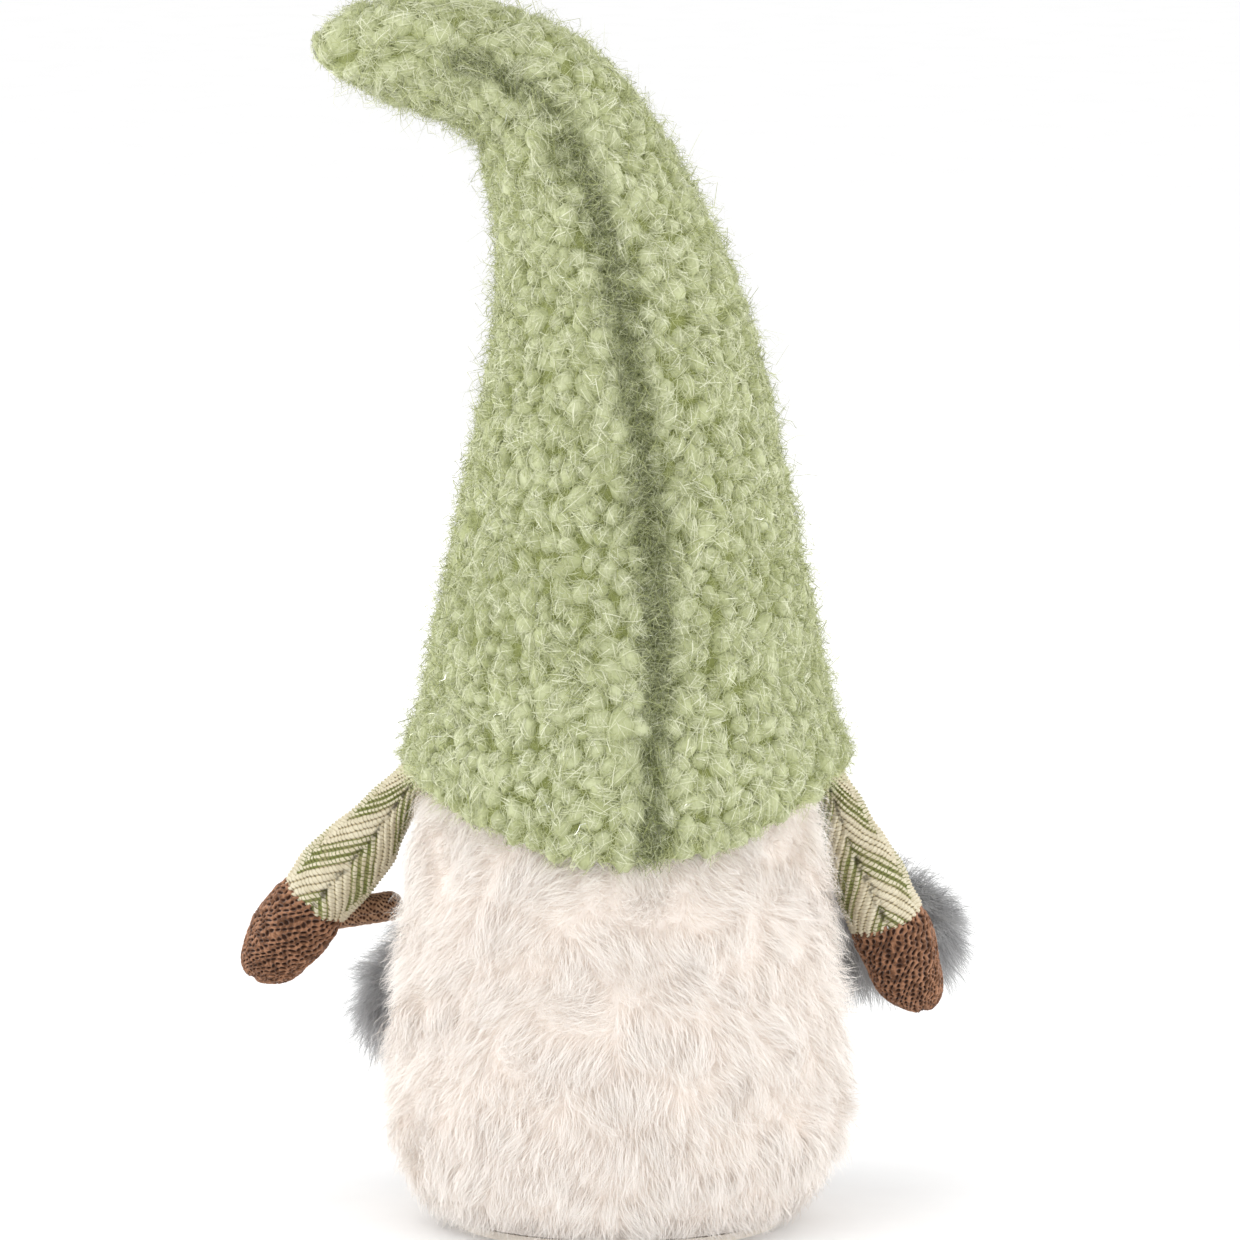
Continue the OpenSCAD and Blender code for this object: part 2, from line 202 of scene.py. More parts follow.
class Graph:
    """A material's node tree with one shader."""

    def __init__(self, name: str, constants: dict[str, object]) -> None:
        """Makes an empty material.

        Args:
            name: the material's name.
            constants: values set directly on the shader's sockets.
        """
        self.material = bpy.data.materials.new(name)
        self.material.use_nodes = True
        self.tree = self.material.node_tree
        self.tree.nodes.clear()
        out = self.node("ShaderNodeOutputMaterial", {}, {})
        self.shader = self.node("ShaderNodeBsdfPrincipled", {}, constants)
        self.tree.links.new(self.shader.outputs[0], out.inputs["Surface"])

    def node(self, kind: str, settings: dict[str, object], inputs: dict) -> bpy.types.Node:
        """Adds any node.

        Args:
            kind: the node's type.
            settings: attributes, set first; "stops" is a ramp's list of (place, colour).
            inputs: socket names or numbers, with values, sockets or Socks.

        Returns:
            The node.
        """
        made = self.tree.nodes.new(kind)
        for key, value in settings.items():
            if key == "stops":
                self.set_stops(made, value)
            else:
                setattr(made, key, value)
        for key, value in inputs.items():
            socket = made.inputs[key]
            if isinstance(value, Sock):
                self.tree.links.new(value.socket, socket)
            elif isinstance(value, bpy.types.NodeSocket):
                self.tree.links.new(value, socket)
            elif isinstance(value, tuple) and len(value) == 3 and socket.type == "RGBA":
                socket.default_value = (*value, 1.0)
            else:
                socket.default_value = value
        return made

    @staticmethod
    def set_stops(ramp: bpy.types.Node, stops: list[tuple[float, Colour]]) -> None:
        """Sets a colour ramp's stops.

        Args:
            ramp: the ramp's node.
            stops: places from 0 to 1, with colours.
        """
        elements = ramp.color_ramp.elements
        while len(elements) < len(stops):
            elements.new(0.5)
        for element, (place, colour) in zip(elements, stops):
            element.position = place
            element.color = (*colour, 1.0)

    def coordinates(self) -> tuple[Sock, Sock]:
        """The piece's own surface coordinates.

        Returns:
            Across and along, each from 0 to 1.
        """
        uv = self.node("ShaderNodeUVMap", {"uv_map": "OFBake"}, {})
        split = self.node("ShaderNodeSeparateXYZ", {}, {0: uv.outputs[0]})
        return Sock(self, split.outputs[0]), Sock(self, split.outputs[1])

    def noise(self, per_metre: float, detail: float = 2.0) -> Sock:
        """Noise fixed to the object.

        Args:
            per_metre: cells in a metre.
            detail: how many finer layers it has.

        Returns:
            A value around 0.5.
        """
        place = self.node("ShaderNodeTexCoord", {}, {}).outputs["Object"]
        made = self.node("ShaderNodeTexNoise", {}, {"Vector": place, "Scale": per_metre, "Detail": detail})
        return Sock(self, made.outputs[0])

    def mix(self, factor: "Sock | float", a: "Sock | Colour", b: "Sock | Colour") -> Sock:
        """Mixes two colours."""
        made = self.node("ShaderNodeMix", {"data_type": "RGBA"}, {0: factor, 6: a, 7: b})
        return Sock(self, made.outputs[2])

    def colour(self, value: Sock) -> None:
        """Sets what feeds the base colour."""
        self.tree.links.new(value.socket, self.shader.inputs["Base Color"])

    def roughness(self, value: Sock) -> None:
        """Sets what feeds the roughness."""
        self.tree.links.new(value.socket, self.shader.inputs["Roughness"])

    def bump(self, height: Sock, depth: float, strength: float) -> None:
        """Feeds the normal with a height.

        Args:
            height: from 0 to 1.
            depth: the height of 1, in metres.
            strength: from 0 to 1.
        """
        made = self.node("ShaderNodeBump", {}, {"Height": height, "Distance": depth, "Strength": strength})
        self.tree.links.new(made.outputs[0], self.shader.inputs["Normal"])


def srgb(red: int, green: int, blue: int) -> Colour:
    """A colour in linear light, from how it looks on a screen.

    Args:
        red: from 0 to 255.
        green: from 0 to 255.
        blue: from 0 to 255.

    Returns:
        The three shares of light, each from 0 to 1.
    """
    def linear(c: float) -> float:
        """One share of light."""
        return c / 12.92 if c <= 0.04045 else ((c + 0.055) / 1.055) ** 2.4
    return linear(red / 255), linear(green / 255), linear(blue / 255)


# ---------------------------------------------------------------- patterns shared by meshes and finishes


@dataclass(frozen=True)
class Herringbone:
    """Twill ribs of slanted stitches that turn at every column's edge; lengths in metres."""

    pitch: float = 2.25 * MM
    slope_deg: float = 39.0
    column: float = 11.5 * MM
    ribs_in_band: int = 3
    stitch: float = 1.25 * MM

    def parts(self, across: "Sock | Array", along: "Sock | Array") -> tuple:
        """The weave at a place.

        Args:
            across: distance from the seam, either way.
            along: distance down the sleeve.

        Returns:
            The rib's height, the stitch's height and the share of green, each from 0 to 1.
        """
        slope = math.radians(self.slope_deg)
        turn = m_abs(m_fract(m_abs(across) * (0.5 / self.column)) * 2.0 - 1.0)
        side = (1.0 - turn) * self.column
        over = (along * math.sin(slope) - side * math.cos(slope)) * (1 / self.pitch)
        down = (along * math.cos(slope) + side * math.sin(slope)) * (1 / self.stitch)
        rib = m_abs(m_sin((over + m_sin(down * 0.45) * 0.07) * math.pi))
        sway = m_sin(down * 0.7 + side * (0.9 / self.pitch)) * 0.16
        stitch = m_abs(m_sin((down + over * 0.9 + sway) * math.pi))
        band = m_sin(m_floor(over) * (math.pi / self.ribs_in_band) + 0.5)
        return rib, stitch, m_ramp(band, -0.1, 0.1)


@dataclass(frozen=True)
class Knit:
    """A net of yarn round small gaps, offset like bricks; lengths in metres."""

    wide: float = 2.3 * MM
    row: float = 1.5 * MM

    def height(self, turns: "Sock | Array", rows: "Sock | Array") -> "Sock | Array":
        """The yarn's height at a place.

        Args:
            turns: distance across in stitches.
            rows: distance along in rows.

        Returns:
            From 0 in a gap to 1 on the yarn.
        """
        sway = m_sin(rows * 1.7 + m_sin(turns * 0.9) * 2.0) * 0.22
        across = turns + sway
        along = rows + m_sin(turns * 1.3 + rows * 0.5) * 0.3
        level = m_floor(along)
        x = m_fract(across + m_fract(level * 0.5)) - 0.5
        y = m_fract(along) - 0.5
        slant = y + x * 0.7
        gap = x * x * 7.0 + slant * slant * 3.6
        own = m_sin(level * 2.4 + m_floor(across * 2.0) * 1.9) * 0.2
        return m_ramp(gap, 0.05, 1.0) * (0.8 + own)


# ---------------------------------------------------------------- finishes


@dataclass(frozen=True)
class PileFinish:
    """Fur, loops or fuzz: colour by height along a fibre and by the fibre's own shade; on the hat's loops, fibres
    and mat the darker low end is painted shade.
    """

    name: str
    root: Colour
    middle: Colour
    tip: Colour
    shade: Colour
    shade_share: float = 0.5
    roughness: float = 0.85
    sheen: float = 0.25
    grain: float = 0.0
    grain_cells: float = 900.0

    def material(self) -> bpy.types.Material:
        """Builds the node material.

        Returns:
            The material.
        """
        g = Graph(self.name, {"Roughness": self.roughness, "Sheen Weight": self.sheen, "Sheen Roughness": 0.5,
                              "Specular IOR Level": 0.2})
        own, height = g.coordinates()
        ramp = g.node("ShaderNodeValToRGB", {"stops": [(0.0, self.root), (0.45, self.middle), (1.0, self.tip)]},
                      {0: height})
        shaded = g.mix(own * self.shade_share, Sock(g, ramp.outputs[0]), self.shade)
        g.colour(shaded)
        if self.grain > 0:
            g.bump(g.noise(self.grain_cells, 3.0), self.grain, 0.6)
        return g.material


@dataclass(frozen=True)
class TinselFinish:
    """Thin glinting threads."""

    name: str = "tinsel"
    colour: Colour = srgb(236, 238, 228)
    other: Colour = srgb(214, 220, 196)

    def material(self) -> bpy.types.Material:
        """Builds the node material.

        Returns:
            The material.
        """
        g = Graph(self.name, {"Metallic": 1.0})
        own, _ = g.coordinates()
        g.colour(g.mix(own, self.colour, self.other))
        g.roughness(own * 0.2 + 0.12)
        return g.material


@dataclass(frozen=True)
class SleeveFinish:
    """Cream and olive herringbone cloth; lengths in metres."""

    weave: Herringbone
    girth: float
    length: float
    wander: float = 1.1 * MM
    seam_half: tuple[float, float] = (0.3 * MM, 1.7 * MM)
    thickness: float = 0.35 * MM
    cream: Colour = srgb(224, 216, 192)
    tan: Colour = srgb(184, 170, 136)
    green: Colour = srgb(118, 124, 64)
    # The gap colour is painted shade, in the weave's low parts and along the seam.
    gap: Colour = srgb(62, 56, 34)

    def material(self) -> bpy.types.Material:
        """Builds the node material.

        Returns:
            The material.
        """
        g = Graph("herringbone_cloth", {"Roughness": 0.82, "Sheen Weight": 0.15, "Specular IOR Level": 0.25})
        u, v = g.coordinates()
        across = (u - 0.5) * self.girth
        along = v * self.length
        wander = g.noise(420.0, 2.0) * self.wander
        rib, stitch, green = self.weave.parts(across, along + wander)
        bead = m_ramp(stitch, 0.18, 0.6)
        in_cream = g.mix(m_ramp(rib, 0.1, 0.5), self.tan, self.cream)
        in_cream = g.mix((1.0 - bead) * 0.7, in_cream, self.tan)
        in_green = g.mix(m_ramp(rib, 0.55, 0.8) * bead, self.green, self.cream)
        cloth = g.mix(green, in_cream, in_green)
        cloth = g.mix(m_ramp(g.noise(260.0, 1.0), 0.35, 0.75) * 0.35, cloth, self.tan)
        # Painted shade: the weave's low parts between ribs and stitches darken towards the gap colour.
        recess_shade = 1.0 - m_ramp(rib * 0.5 + stitch * 0.5, 0.05, 0.5)
        cloth = g.mix(recess_shade * 0.95, cloth, self.gap)
        # Painted shade: the puckered seam's crease darkens towards the gap colour, in patches.
        seam = 1.0 - m_ramp(m_abs(across), *self.seam_half)
        cloth = g.mix(seam * 0.8 * m_ramp(g.noise(480.0, 1.0), 0.4, 0.62), cloth, self.gap)
        g.colour(cloth)
        g.bump(rib * 0.5 + stitch * 0.4 + g.noise(1500.0) * 0.3, self.thickness, 0.8)
        return g.material


@dataclass(frozen=True)
class KnitFinish:
    """Brown knitting, with painted shade darkening the gaps between its stitches."""

    stitch: Knit
    name: str
    turns: float
    rows: float
    yarn: Colour = srgb(166, 121, 92)
    yarn_dark: Colour = srgb(104, 70, 49)
    # The gap colour is painted shade in the gaps between stitches.
    gap: Colour = srgb(58, 33, 19)
    thickness: float = 0.4 * MM

    def material(self) -> bpy.types.Material:
        """Builds the node material.

        Returns:
            The material.
        """
        g = Graph(self.name, {"Roughness": 0.88, "Sheen Weight": 0.2, "Specular IOR Level": 0.2})
        u, v = g.coordinates()
        height = self.stitch.height(u * self.turns, v * self.rows)
        wool = g.mix(m_ramp(g.noise(520.0, 3.0), 0.38, 0.62), self.yarn_dark, self.yarn)
        # Painted shade: the gaps and the yarn's low sides darken towards the gap colour.
        g.colour(g.mix(m_ramp(height, 0.0, 0.8), self.gap, wool))
        g.bump(height + g.noise(1800.0) * 0.35, self.thickness, 0.7)
        return g.material


@dataclass(frozen=True)
class ClothFinish:
    """A plain fine cloth, board or filling, with a slight grain and mottling."""

    name: str
    light: Colour
    dark: Colour
    cells: float = 900.0
    roughness: float = 0.8
    metallic: float = 0.0
    sheen: float = 0.1
    thickness: float = 0.15 * MM

    def material(self) -> bpy.types.Material:
        """Builds the node material.

        Returns:
            The material.
        """
        g = Graph(self.name, {"Sheen Weight": self.sheen, "Metallic": self.metallic})
        grain = g.noise(self.cells, 4.0)
        g.colour(g.mix(m_ramp(grain, 0.3, 0.7), self.dark, self.light))
        g.roughness(grain * 0.15 + (self.roughness - 0.07))
        g.bump(grain, self.thickness, 0.5)
        return g.material


# ---------------------------------------------------------------- meshes from arrays


@dataclass
class Cloth:
    """Points, four-sided faces and their coordinates, gathered before a mesh is made."""

    points: list[Array] = field(default_factory=list)
    faces: list[Array] = field(default_factory=list)
    coords: list[Array] = field(default_factory=list)
    count: int = 0

    def add(self, points: Array, faces: Array, coords: Array) -> None:
        """Adds a patch.

        Args:
            points: (n, 3) places.
            faces: (m, 4) indices into points; a three-sided face repeats its last index.
            coords: (m, 4, 2) surface coordinates.
        """
        self.points.append(points.reshape(-1, 3))
        self.faces.append(faces.reshape(-1, 4) + self.count)
        self.coords.append(coords.reshape(-1, 4, 2))
        self.count += self.points[-1].shape[0]

    def grid(self, rings: Array, close_start: bool = True, close_end: bool = True) -> None:
        """Adds a skin through rings of points, each a closed loop.

        Args:
            rings: (r, c, 3) places, around each ring counter-clockwise seen from ahead.
            close_start: whether a fan closes the first ring.
            close_end: whether a fan closes the last ring.
        """
        r, c, _ = rings.shape
        i, j = np.meshgrid(np.arange(r - 1), np.arange(c), indexing="ij")
        right = (j + 1) % c
        faces = np.stack([i * c + j, i * c + right, (i + 1) * c + right, (i + 1) * c + j], -1)
        u0, u1 = j / c, (j + 1) / c
        v0, v1 = i / (r - 1), (i + 1) / (r - 1)
        coords = np.stack([np.stack([u0, v0], -1), np.stack([u1, v0], -1),
                           np.stack([u1, v1], -1), np.stack([u0, v1], -1)], -2)
        base = self.count
        self.add(rings, faces, coords)
        for wanted, row, flip in ((close_start, 0, True), (close_end, r - 1, False)):
            if wanted:
                self.fan(rings[row], base + row * c, row / (r - 1), flip)

    def fan(self, ring: Array, first: int, v: float, flip: bool) -> None:
        """Closes a ring with triangles to its middle.

        Args:
            ring: (c, 3) places of the ring.
            first: the index of its first point.
            v: its coordinate along the skin.
            flip: whether the fan faces back.
        """
        c = ring.shape[0]
        j = np.arange(c)
        a, b = first + j, first + (j + 1) % c
        if flip:
            a, b = b, a
        middle = np.full(c, self.count)
        faces = np.stack([a, b, middle, middle], -1)
        self.points.append(ring.mean(0)[None])
        self.faces.append(faces)
        spot = np.stack([(j + 0.5) / c, np.full(c, v)], -1)
        self.coords.append(np.repeat(spot[:, None], 4, axis=1))
        self.count += 1

    def build(self, name: str, material: bpy.types.Material) -> bpy.types.Object:
        """Makes the Blender object.

        Args:
            name: the piece's name.
            material: its finish.

        Returns:
            The object, linked to the scene.
        """
        points = np.concatenate(self.points)
        faces = np.concatenate(self.faces)
        coords = np.concatenate(self.coords)
        three = faces[:, 2] == faces[:, 3]
        sizes = np.where(three, 3, 4)
        keep = np.ones(faces.shape, bool)
        keep[three, 3] = False
        mesh = bpy.data.meshes.new(name)
        mesh.vertices.add(len(points))
        mesh.vertices.foreach_set("co", points.astype(np.float32).ravel())
        mesh.loops.add(int(sizes.sum()))
        mesh.loops.foreach_set("vertex_index", faces[keep].astype(np.int32))
        mesh.polygons.add(len(faces))
        starts = np.concatenate([[0], np.cumsum(sizes)[:-1]]).astype(np.int32)
        mesh.polygons.foreach_set("loop_start", starts)
        mesh.update(calc_edges=True)
        layer = mesh.uv_layers.new(name="OFBake")
        layer.data.foreach_set("uv", coords[keep].astype(np.float32).ravel())
        mesh.materials.append(material)
        mesh.shade_smooth()
        made = bpy.data.objects.new(name, mesh)
        bpy.context.collection.objects.link(made)
        log.info("%s: %d points, %d faces", name, len(points), len(faces))
        return made


def unit(v: Array) -> Array:
    """Vectors of length 1."""
    return v / np.maximum(np.linalg.norm(v, axis=-1, keepdims=True), 1e-12)


def bezier(p: "list[Array] | Array", t: Array) -> Array:
    """Places on a cubic curve.

    Args:
        p: its four control points.
        t: (n, 1) shares of the way, from 0 to 1.

    Returns:
        (n, k) places.
    """
    return (1 - t) ** 3 * p[0] + 3 * t * (1 - t) ** 2 * p[1] + 3 * t * t * (1 - t) * p[2] + t ** 3 * p[3]


def on_body(piece: bpy.types.Object, slot: Slot, *nodes: str) -> bpy.types.Object:
    """Sews a piece to the body.

    Args:
        piece: the piece.
        slot: the record's slot; not used.
        nodes: the CAD nodes that it stands for.

    Returns:
        The piece.
    """
    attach(piece, "body")
    if nodes:
        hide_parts(*nodes)
    return piece


def ripple(points: Array, wave: float, seed: int, terms: int = 7) -> Array:
    """Smooth lumps, as a sum of waves in random directions.

    Args:
        points: (..., 3) places.
        wave: the typical distance from lump to lump, in metres.
        seed: for the directions.
        terms: how many waves.

    Returns:
        A value at each place, mostly from -1 to 1.
    """
    rng = np.random.default_rng(seed)
    total = np.zeros(points.shape[:-1])
    for _ in range(terms):
        way = unit(rng.normal(size=3)) * (2 * math.pi / wave) * rng.uniform(0.7, 1.5)
        total += np.sin(points @ way + rng.uniform(0, 2 * math.pi))
    return total / math.sqrt(terms)


@dataclass(frozen=True)
class Combing:
    """How a pile's fibres lie; lengths in metres."""

    length: float
    width: float
    rise: float = 0.5
    droop: float = 0.15
    stray: float = 0.12
    curl: float = 0.0
    clump: float = 0.5
    per_clump: int = 24
    steps: int = 4
    spread: float = 0.3

    def strands(self, roots: Array, normals: Array, flow: Array, rng: np.random.Generator,
                length: Array | None = None) -> Cloth:
        """Makes thin tapered blades.

        Args:
            roots: (n, 3) places of the roots.
            normals: (n, 3) outward directions.
            flow: (n, 3) directions in which the fibres lie.
            rng: the source of chance.
            length: optional (n,) share of the full length.

        Returns:
            The blades.
        """
        n = len(roots)
        t = np.linspace(0, 1, self.steps + 1)[None, :, None]
        size = self.length * rng.uniform(0.7, 1.15, n)
        if length is not None:
            size = size * length
        size = size[:, None, None]
        flow = unit(flow + self.spread * rng.normal(size=(n, 3)))
        lean = unit(rng.normal(size=(n, 3)))[:, None]
        lift = self.rise * (t - 0.55 * t * t) * rng.uniform(0.65, 1.4, n)[:, None, None]
        path = flow[:, None] * t * (1 - 0.35 * self.rise) + normals[:, None] * lift + lean * self.stray * t * t
        path[..., 2] -= self.droop * t[..., 0] ** 2
        if self.curl > 0:
            twist = rng.uniform(0, 2 * math.pi, n)[:, None, None]
            other = unit(np.cross(flow, normals))[:, None]
            path = path + self.curl * (np.sin(t * 7 + twist) * other + np.cos(t * 6 + twist) * normals[:, None])
        path = roots[:, None] + size * path
        path = self.clumped(path, roots, rng)
        forward = unit(path[:, -1] - path[:, 0])
        side = unit(np.cross(forward, normals))
        roll = rng.normal(0, 0.5, n)[:, None]
        side = unit(side * np.cos(roll) + normals * np.sin(roll))[:, None]
        half = 0.5 * self.width * rng.uniform(0.7, 1.3, n)[:, None, None] * (1 - 0.85 * t ** 2)
        points = np.stack([path - side * half, path + side * half], 2)
        return self.woven(points, rng)

    def clumped(self, path: Array, roots: Array, rng: np.random.Generator) -> Array:
        """Draws each fibre's end towards the middle fibre of its tuft.

        Args:
            path: (n, k, 3) places along each fibre.
            roots: (n, 3) places of the roots.
            rng: the source of chance.

        Returns:
            The drawn places.
        """
        n, k, _ = path.shape
        if self.clump <= 0 or n < self.per_clump * 2:
            return path
        heads = rng.choice(n, n // self.per_clump, replace=False)
        tree = kdtree.KDTree(len(heads))
        for i, head in enumerate(heads):
            tree.insert(roots[head], i)
        tree.balance()
        near = np.array([tree.find(r)[1] for r in roots])
        own = heads[near]
        pull = (self.clump * np.linspace(0, 1, k) ** 1.2)[None, :, None] * rng.uniform(0.5, 1.0, n)[:, None, None]
        aim = path[own] + (roots - roots[own])[:, None] * 0.22
        return path * (1 - pull) + aim * pull

    @staticmethod
    def woven(points: Array, rng: np.random.Generator, high: Array | None = None) -> Cloth:
        """Joins pairs of points into strips, each with its own shade.

        Args:
            points: (n, k, 2, 3) places.
            rng: the source of chance.
            high: optional (n, k) second coordinates; without it they run from root to end.

        Returns:
            The strips.
        """
        n, k = points.shape[:2]
        start = np.arange(n)[:, None] * (2 * k)
        row = np.arange(k - 1)[None] * 2
        first = start + row
        faces = np.stack([first, first + 1, first + 3, first + 2], -1)
        shade = rng.uniform(0.02, 0.98, n)[:, None]
        level = np.linspace(0, 1, k)[None] * np.ones((n, 1)) if high is None else high
        low, high = level[:, :-1], level[:, 1:]
        thin = 0.004
        near, far = shade - thin + 0 * low, shade + thin + 0 * low
        coords = np.stack([np.stack([near, low], -1), np.stack([far, low], -1),
                           np.stack([far, high], -1), np.stack([near, high], -1)], -2)
        cloth = Cloth()
        cloth.add(points, faces, coords)
        return cloth


# ---------------------------------------------------------------- the hat


@dataclass
class HatLine:
    """The hat's outer shape, as its CAD solids have it, in metres."""

    elbow: Array
    hem_r: float = 63.5 * MM
    hem_z: float = 131 * MM
    back_drop: float = 20 * MM
    front_drop: float = 6 * MM
    cone_r: float = 56.5 * MM
    bulge: float = 0.8 * MM
    elbow_r: float = 22.5 * MM
    lean_x: float = -2.5 * MM
    roll: float = 0.12
    bend_start: float = 0.45
    bend_power: float = 2.6
    tip_reach: float = 64 * MM
    tip_rise: float = 19 * MM
    tip_r: float = 16 * MM
    tip_hold: float = 12 * MM
    tuck: float = 1.2 * MM
    tuck_run: float = 20 * MM
    drop_run: float = 24 * MM

    def __post_init__(self) -> None:
        """Works out the centre line, radius and lean at even distances from hem to tip."""
        rows = 240
        u = np.linspace(0, 1, rows)
        shift = np.maximum(u - self.bend_start, 0) / (1 - self.bend_start)
        x = self.lean_x + (self.elbow[0] - self.lean_x) * shift ** self.bend_power
        z = self.hem_z + (self.elbow[2] - self.hem_z) * u
        t = np.clip((u - self.roll) / (1 - self.roll), 0, 1)
        flare = (1 - np.cos(math.pi * np.clip(u / self.roll, 0, 1))) / 2
        r = np.where(u < self.roll, self.hem_r + (self.cone_r - self.hem_r) * flare,
                     self.cone_r + (self.elbow_r - self.cone_r) * t + self.bulge * np.sin(math.pi * t))
        way = unit(np.array([x[-1] - x[-3], z[-1] - z[-3]]))
        start = np.array([self.elbow[0], self.elbow[2]])
        p = [start, start + self.tip_hold * way,
             start + np.array([self.tip_reach / 2, self.tip_rise + 2 * MM]),
             start + np.array([self.tip_reach, self.tip_rise])]
        v = np.linspace(0, 1, 120)[1:, None]
        tip = bezier(p, v)
        v = v[:, 0]
        tip_r = (self.elbow_r + (self.tip_r - self.elbow_r) * v ** 0.7) * np.sqrt(np.maximum(1 - v ** 6, 0))
        x, z, r = np.concatenate([x, tip[:, 0]]), np.concatenate([z, tip[:, 1]]), np.concatenate([r, tip_r])
        run = np.concatenate([[0], np.cumsum(np.hypot(np.diff(x), np.diff(z)))])
        self.length = float(run[-1])
        self.run, self.x, self.z, self.r = run, x, z, r
        self.lean = np.arctan2(np.gradient(x, run), np.gradient(z, run))
        self.elbow_at = float(run[rows - 1])
        self.way = np.array([way[0], 0.0, way[1]])

    def place(self, run: Array, turn: Array, inset: Array | float) -> tuple[Array, Array, Array]:
        """Places on the hat.

        Args:
            run: distance from the hem along the centre line.
            turn: angle in radians, with the back at a quarter turn.
            inset: depth below the outer shape.

        Returns:
            The places, the outward directions and the directions towards the tip.
        """
        x, z = np.interp(run, self.run, self.x), np.interp(run, self.run, self.z)
        inset = inset + self.tuck * np.clip(1 - run / self.tuck_run, 0, 1)
        r, lean = np.interp(run, self.run, self.r) - inset, np.interp(run, self.run, self.lean)
        c, s = np.cos(turn), np.sin(turn)
        drop = np.where(s > 0, self.back_drop, self.front_drop) * s * s
        fade = np.clip(1 - run / self.drop_run, 0, 1) ** 1.5
        z = z - drop * fade
        out = np.stack([c * np.cos(lean), s, -c * np.sin(lean)], -1)
        middle = np.stack([x, np.zeros_like(x), z], -1)
        ahead = np.stack([np.sin(lean), np.zeros_like(lean), np.cos(lean)], -1)
        slope = np.interp(run, self.run, np.gradient(self.r, self.run))
        end = np.clip(-slope, 0, 6)[..., None]
        normal = unit(out + ahead * end)
        return middle + out * np.maximum(r, 0.4 * MM)[..., None], normal, unit(ahead - out * end)

    def seam_turn(self, run: Array) -> Array:
        """The angle of the seam, which runs up the back, a little towards the right arm."""
        share = run / self.length
        return math.pi / 2 + 0.12 + 0.05 * np.sin(share * 9) - 0.1 * share ** 3

    def from_seam(self, run: Array, turn: Array) -> Array:
        """Distance round the hat from the seam, in metres."""
        away = (turn - self.seam_turn(run) + math.pi) % (2 * math.pi) - math.pi
        return np.abs(away) * np.interp(run, self.run, self.r)


@dataclass
class Beads:
    """Where the hat's loops are and how each is shaped; one row for each loop."""

    centre: Array
    axes: Array
    half: Array
    run: Array
    shade: Array

    def shaped(self, pick: Array, ways: Array, out: Array | float = 1.0) -> Array:
        """Places in given directions from the middles of given loops.

        Args:
            pick: (n,) loop numbers.
            ways: (n, k, 3) directions in the loop's own axes.
            out: how far out, as a share of the loop's half sizes.

        Returns:
            (n, k, 3) places.
        """
        local = ways * self.half[pick][:, None] * out
        return self.centre[pick][:, None] + np.einsum("nkj,njc->nkc", local, self.axes[pick])


